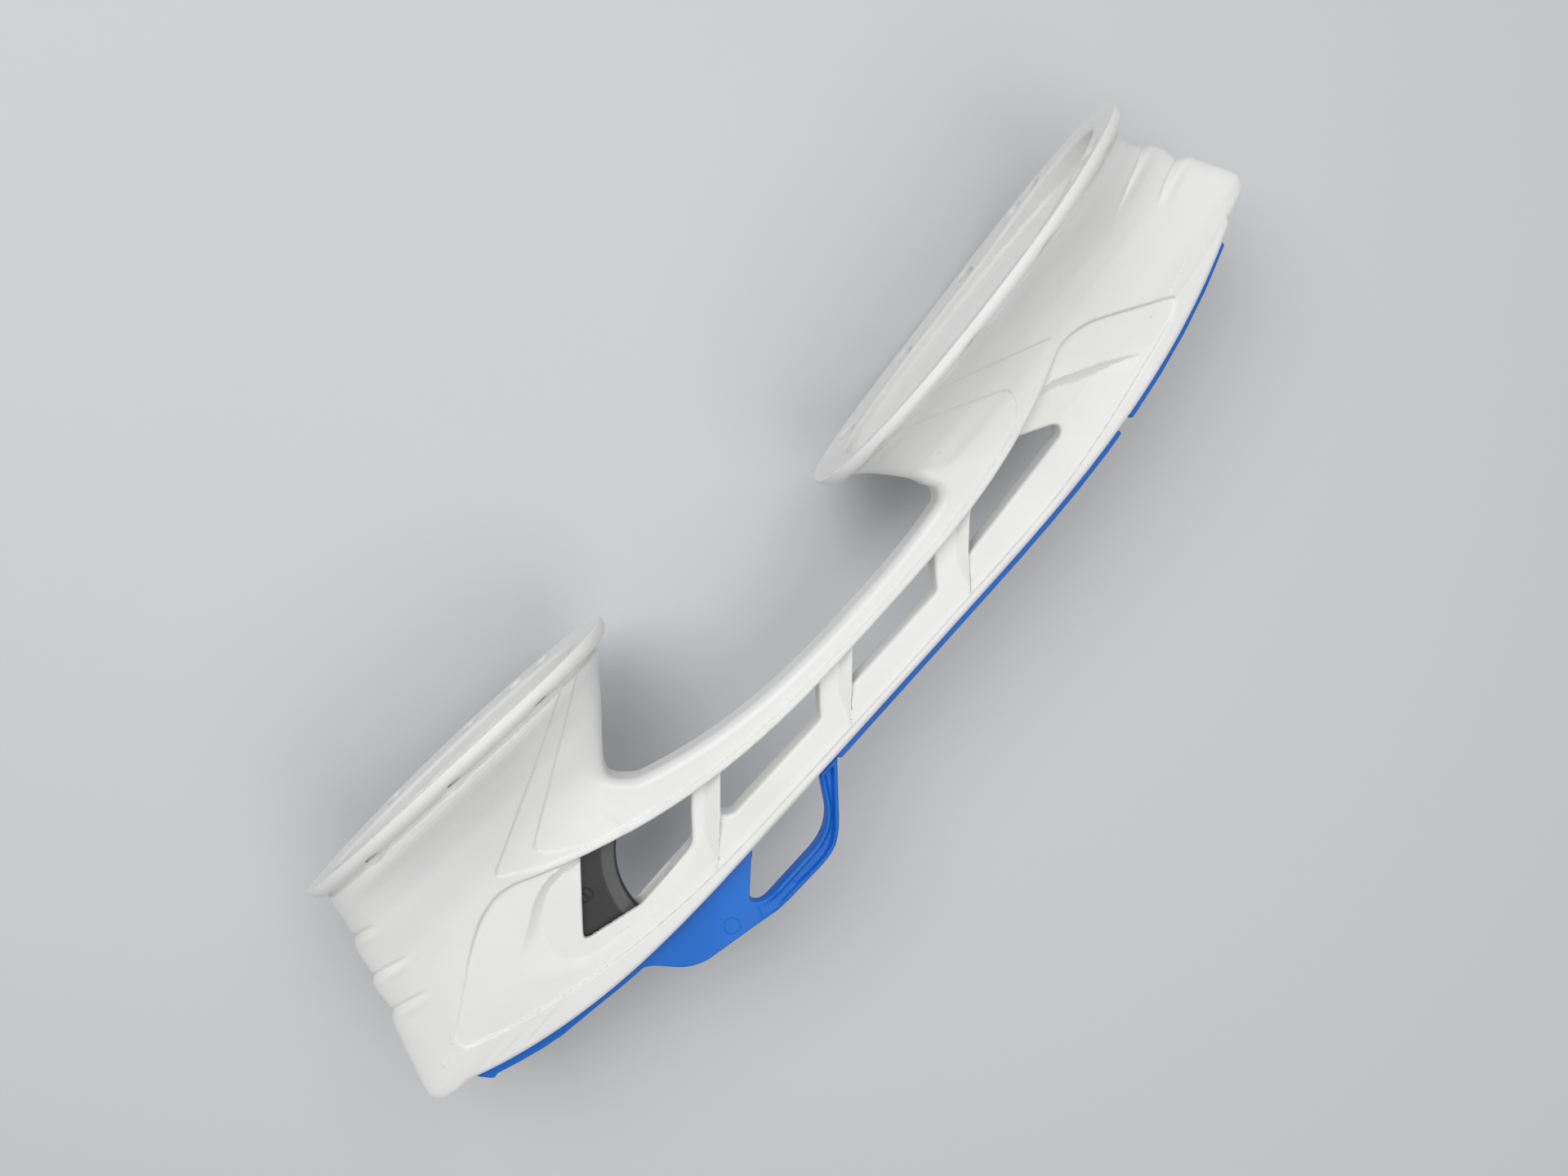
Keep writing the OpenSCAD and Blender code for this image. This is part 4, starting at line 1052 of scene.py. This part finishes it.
def makeSpring(s):
    tree = bpy.data.node_groups.new("springWire", "GeometryNodeTree")
    tree.interface.new_socket("Geometry", in_out="OUTPUT", socket_type="NodeSocketGeometry")
    ids = {}
    for label in ("Turns", "Coil Radius", "Wire Radius", "Length"):
        socket = tree.interface.new_socket(label, in_out="INPUT", socket_type="NodeSocketFloat")
        ids[label] = socket.identifier
    given, result = tree.nodes.new("NodeGroupInput").outputs, tree.nodes.new("NodeGroupOutput")
    spiral = newNode(tree, "GeometryNodeCurveSpiral", {
        "Resolution": s["steps"], "Rotations": given["Turns"], "Start Radius": given["Coil Radius"],
        "End Radius": given["Coil Radius"], "Height": given["Length"]})
    wire = newNode(tree, "GeometryNodeCurvePrimitiveCircle", {
        "Resolution": s["sides"], "Radius": given["Wire Radius"]})
    tube = newNode(tree, "GeometryNodeCurveToMesh", {
        "Fill Caps": True, "Curve": spiral.outputs["Curve"], "Profile Curve": wire.outputs["Curve"]})
    lay = newNode(tree, "GeometryNodeTransform", {
        "Rotation": (0, math.radians(90), 0), "Geometry": tube.outputs["Mesh"],
        "Translation": tuple(toFrame((s["from"] + s["wire"], 0, s["height"])))})
    real = newNode(tree, "GeometryNodeRealizeInstances", {"Geometry": lay.outputs["Geometry"]})
    paint = newNode(tree, "GeometryNodeSetMaterial", {
        "Material": materials["return_spring"], "Geometry": real.outputs["Geometry"]})
    fill(tree, result, {"Geometry": paint.outputs["Geometry"]})
    spring = addObject("springCoil", bpy.data.meshes.new("springCoil"))
    wound = spring.modifiers.new("wound", "NODES")
    wound.node_group = tree
    wound[ids["Turns"]] = s["turns"]
    for label, size in (("Coil Radius", s["coil"]), ("Wire Radius", s["wire"]),
                        ("Length", s["to"] - s["from"] - 2 * s["wire"])):
        wound[ids[label]] = size * 0.001
    mesh = keepShape(spring, "springCoil")
    turnOutward(mesh)
    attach(spring, "holder_body")
    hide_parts("return_spring")
    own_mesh(spring)
    print("springCoil has", len(mesh.polygons), "faces")


makeSpring(springShape)

# The floor that the holder lies on: its far side touches it, so it stands upright in this frame.
# From behind it is clear.
floorLook = {"side": 30.6, "reach": 3.0, "colour": (0.60, 0.605, 0.615), "rough": 0.9}


def makeFloor(f):
    y = (f["side"] - toeCentre[1]) * 0.001
    r = f["reach"]
    mesh = bpy.data.meshes.new("floor")
    mesh.from_pydata([(-r, y, -r), (r, y, -r), (r, y, r), (-r, y, r)], [], [(0, 1, 2, 3)])
    floor = addObject("floor", mesh)
    material = bpy.data.materials.new("floor")
    material.use_nodes = True
    tree = material.node_tree
    shader = fill(tree, tree.nodes["Principled BSDF"],
                  {"Base Color": (*f["colour"], 1), "Roughness": f["rough"]})
    clear = tree.nodes.new("ShaderNodeBsdfTransparent")
    behind = tree.nodes.new("ShaderNodeNewGeometry").outputs["Backfacing"]
    mix = newNode(tree, "ShaderNodeMixShader", {"Fac": behind, 1: shader.outputs[0], 2: clear.outputs[0]})
    fill(tree, tree.nodes["Material Output"], {"Surface": mix.outputs[0]})
    mesh.materials.append(material)


makeFloor(floorLook)

# Soft lamps: place in mm from the middle of the slot mouth, size in m, strength in W
lamps = {
    "key": ((-40, -600, 520), 0.6, 2.9),
    "low": ((-20, -640, -260), 0.6, 1.5),
    "toeSide": ((620, -900, 160), 0.8, 2.1),
}
room = {"aim": (0, 0, 30), "colour": (0.74, 0.745, 0.755), "strength": 0.44}


def makeLights():
    for name, (place, size, power) in lamps.items():
        data = bpy.data.lights.new(name, "AREA")
        data.shape = "DISK"
        data.size = size
        data.energy = power
        lamp = addObject(name, data)
        at = Vector(toFrame(place))
        aim = Vector(toFrame(room["aim"])) - at
        lamp.matrix_world = Matrix.Translation(at) @ aim.to_track_quat("-Z", "Y").to_matrix().to_4x4()
    world = bpy.data.worlds.new("room")
    scene.world = world
    world.use_nodes = True
    fill(world.node_tree, world.node_tree.nodes["Background"],
         {"Color": (*room["colour"], 1), "Strength": room["strength"]})


makeLights()
print("floor and lamps are set")
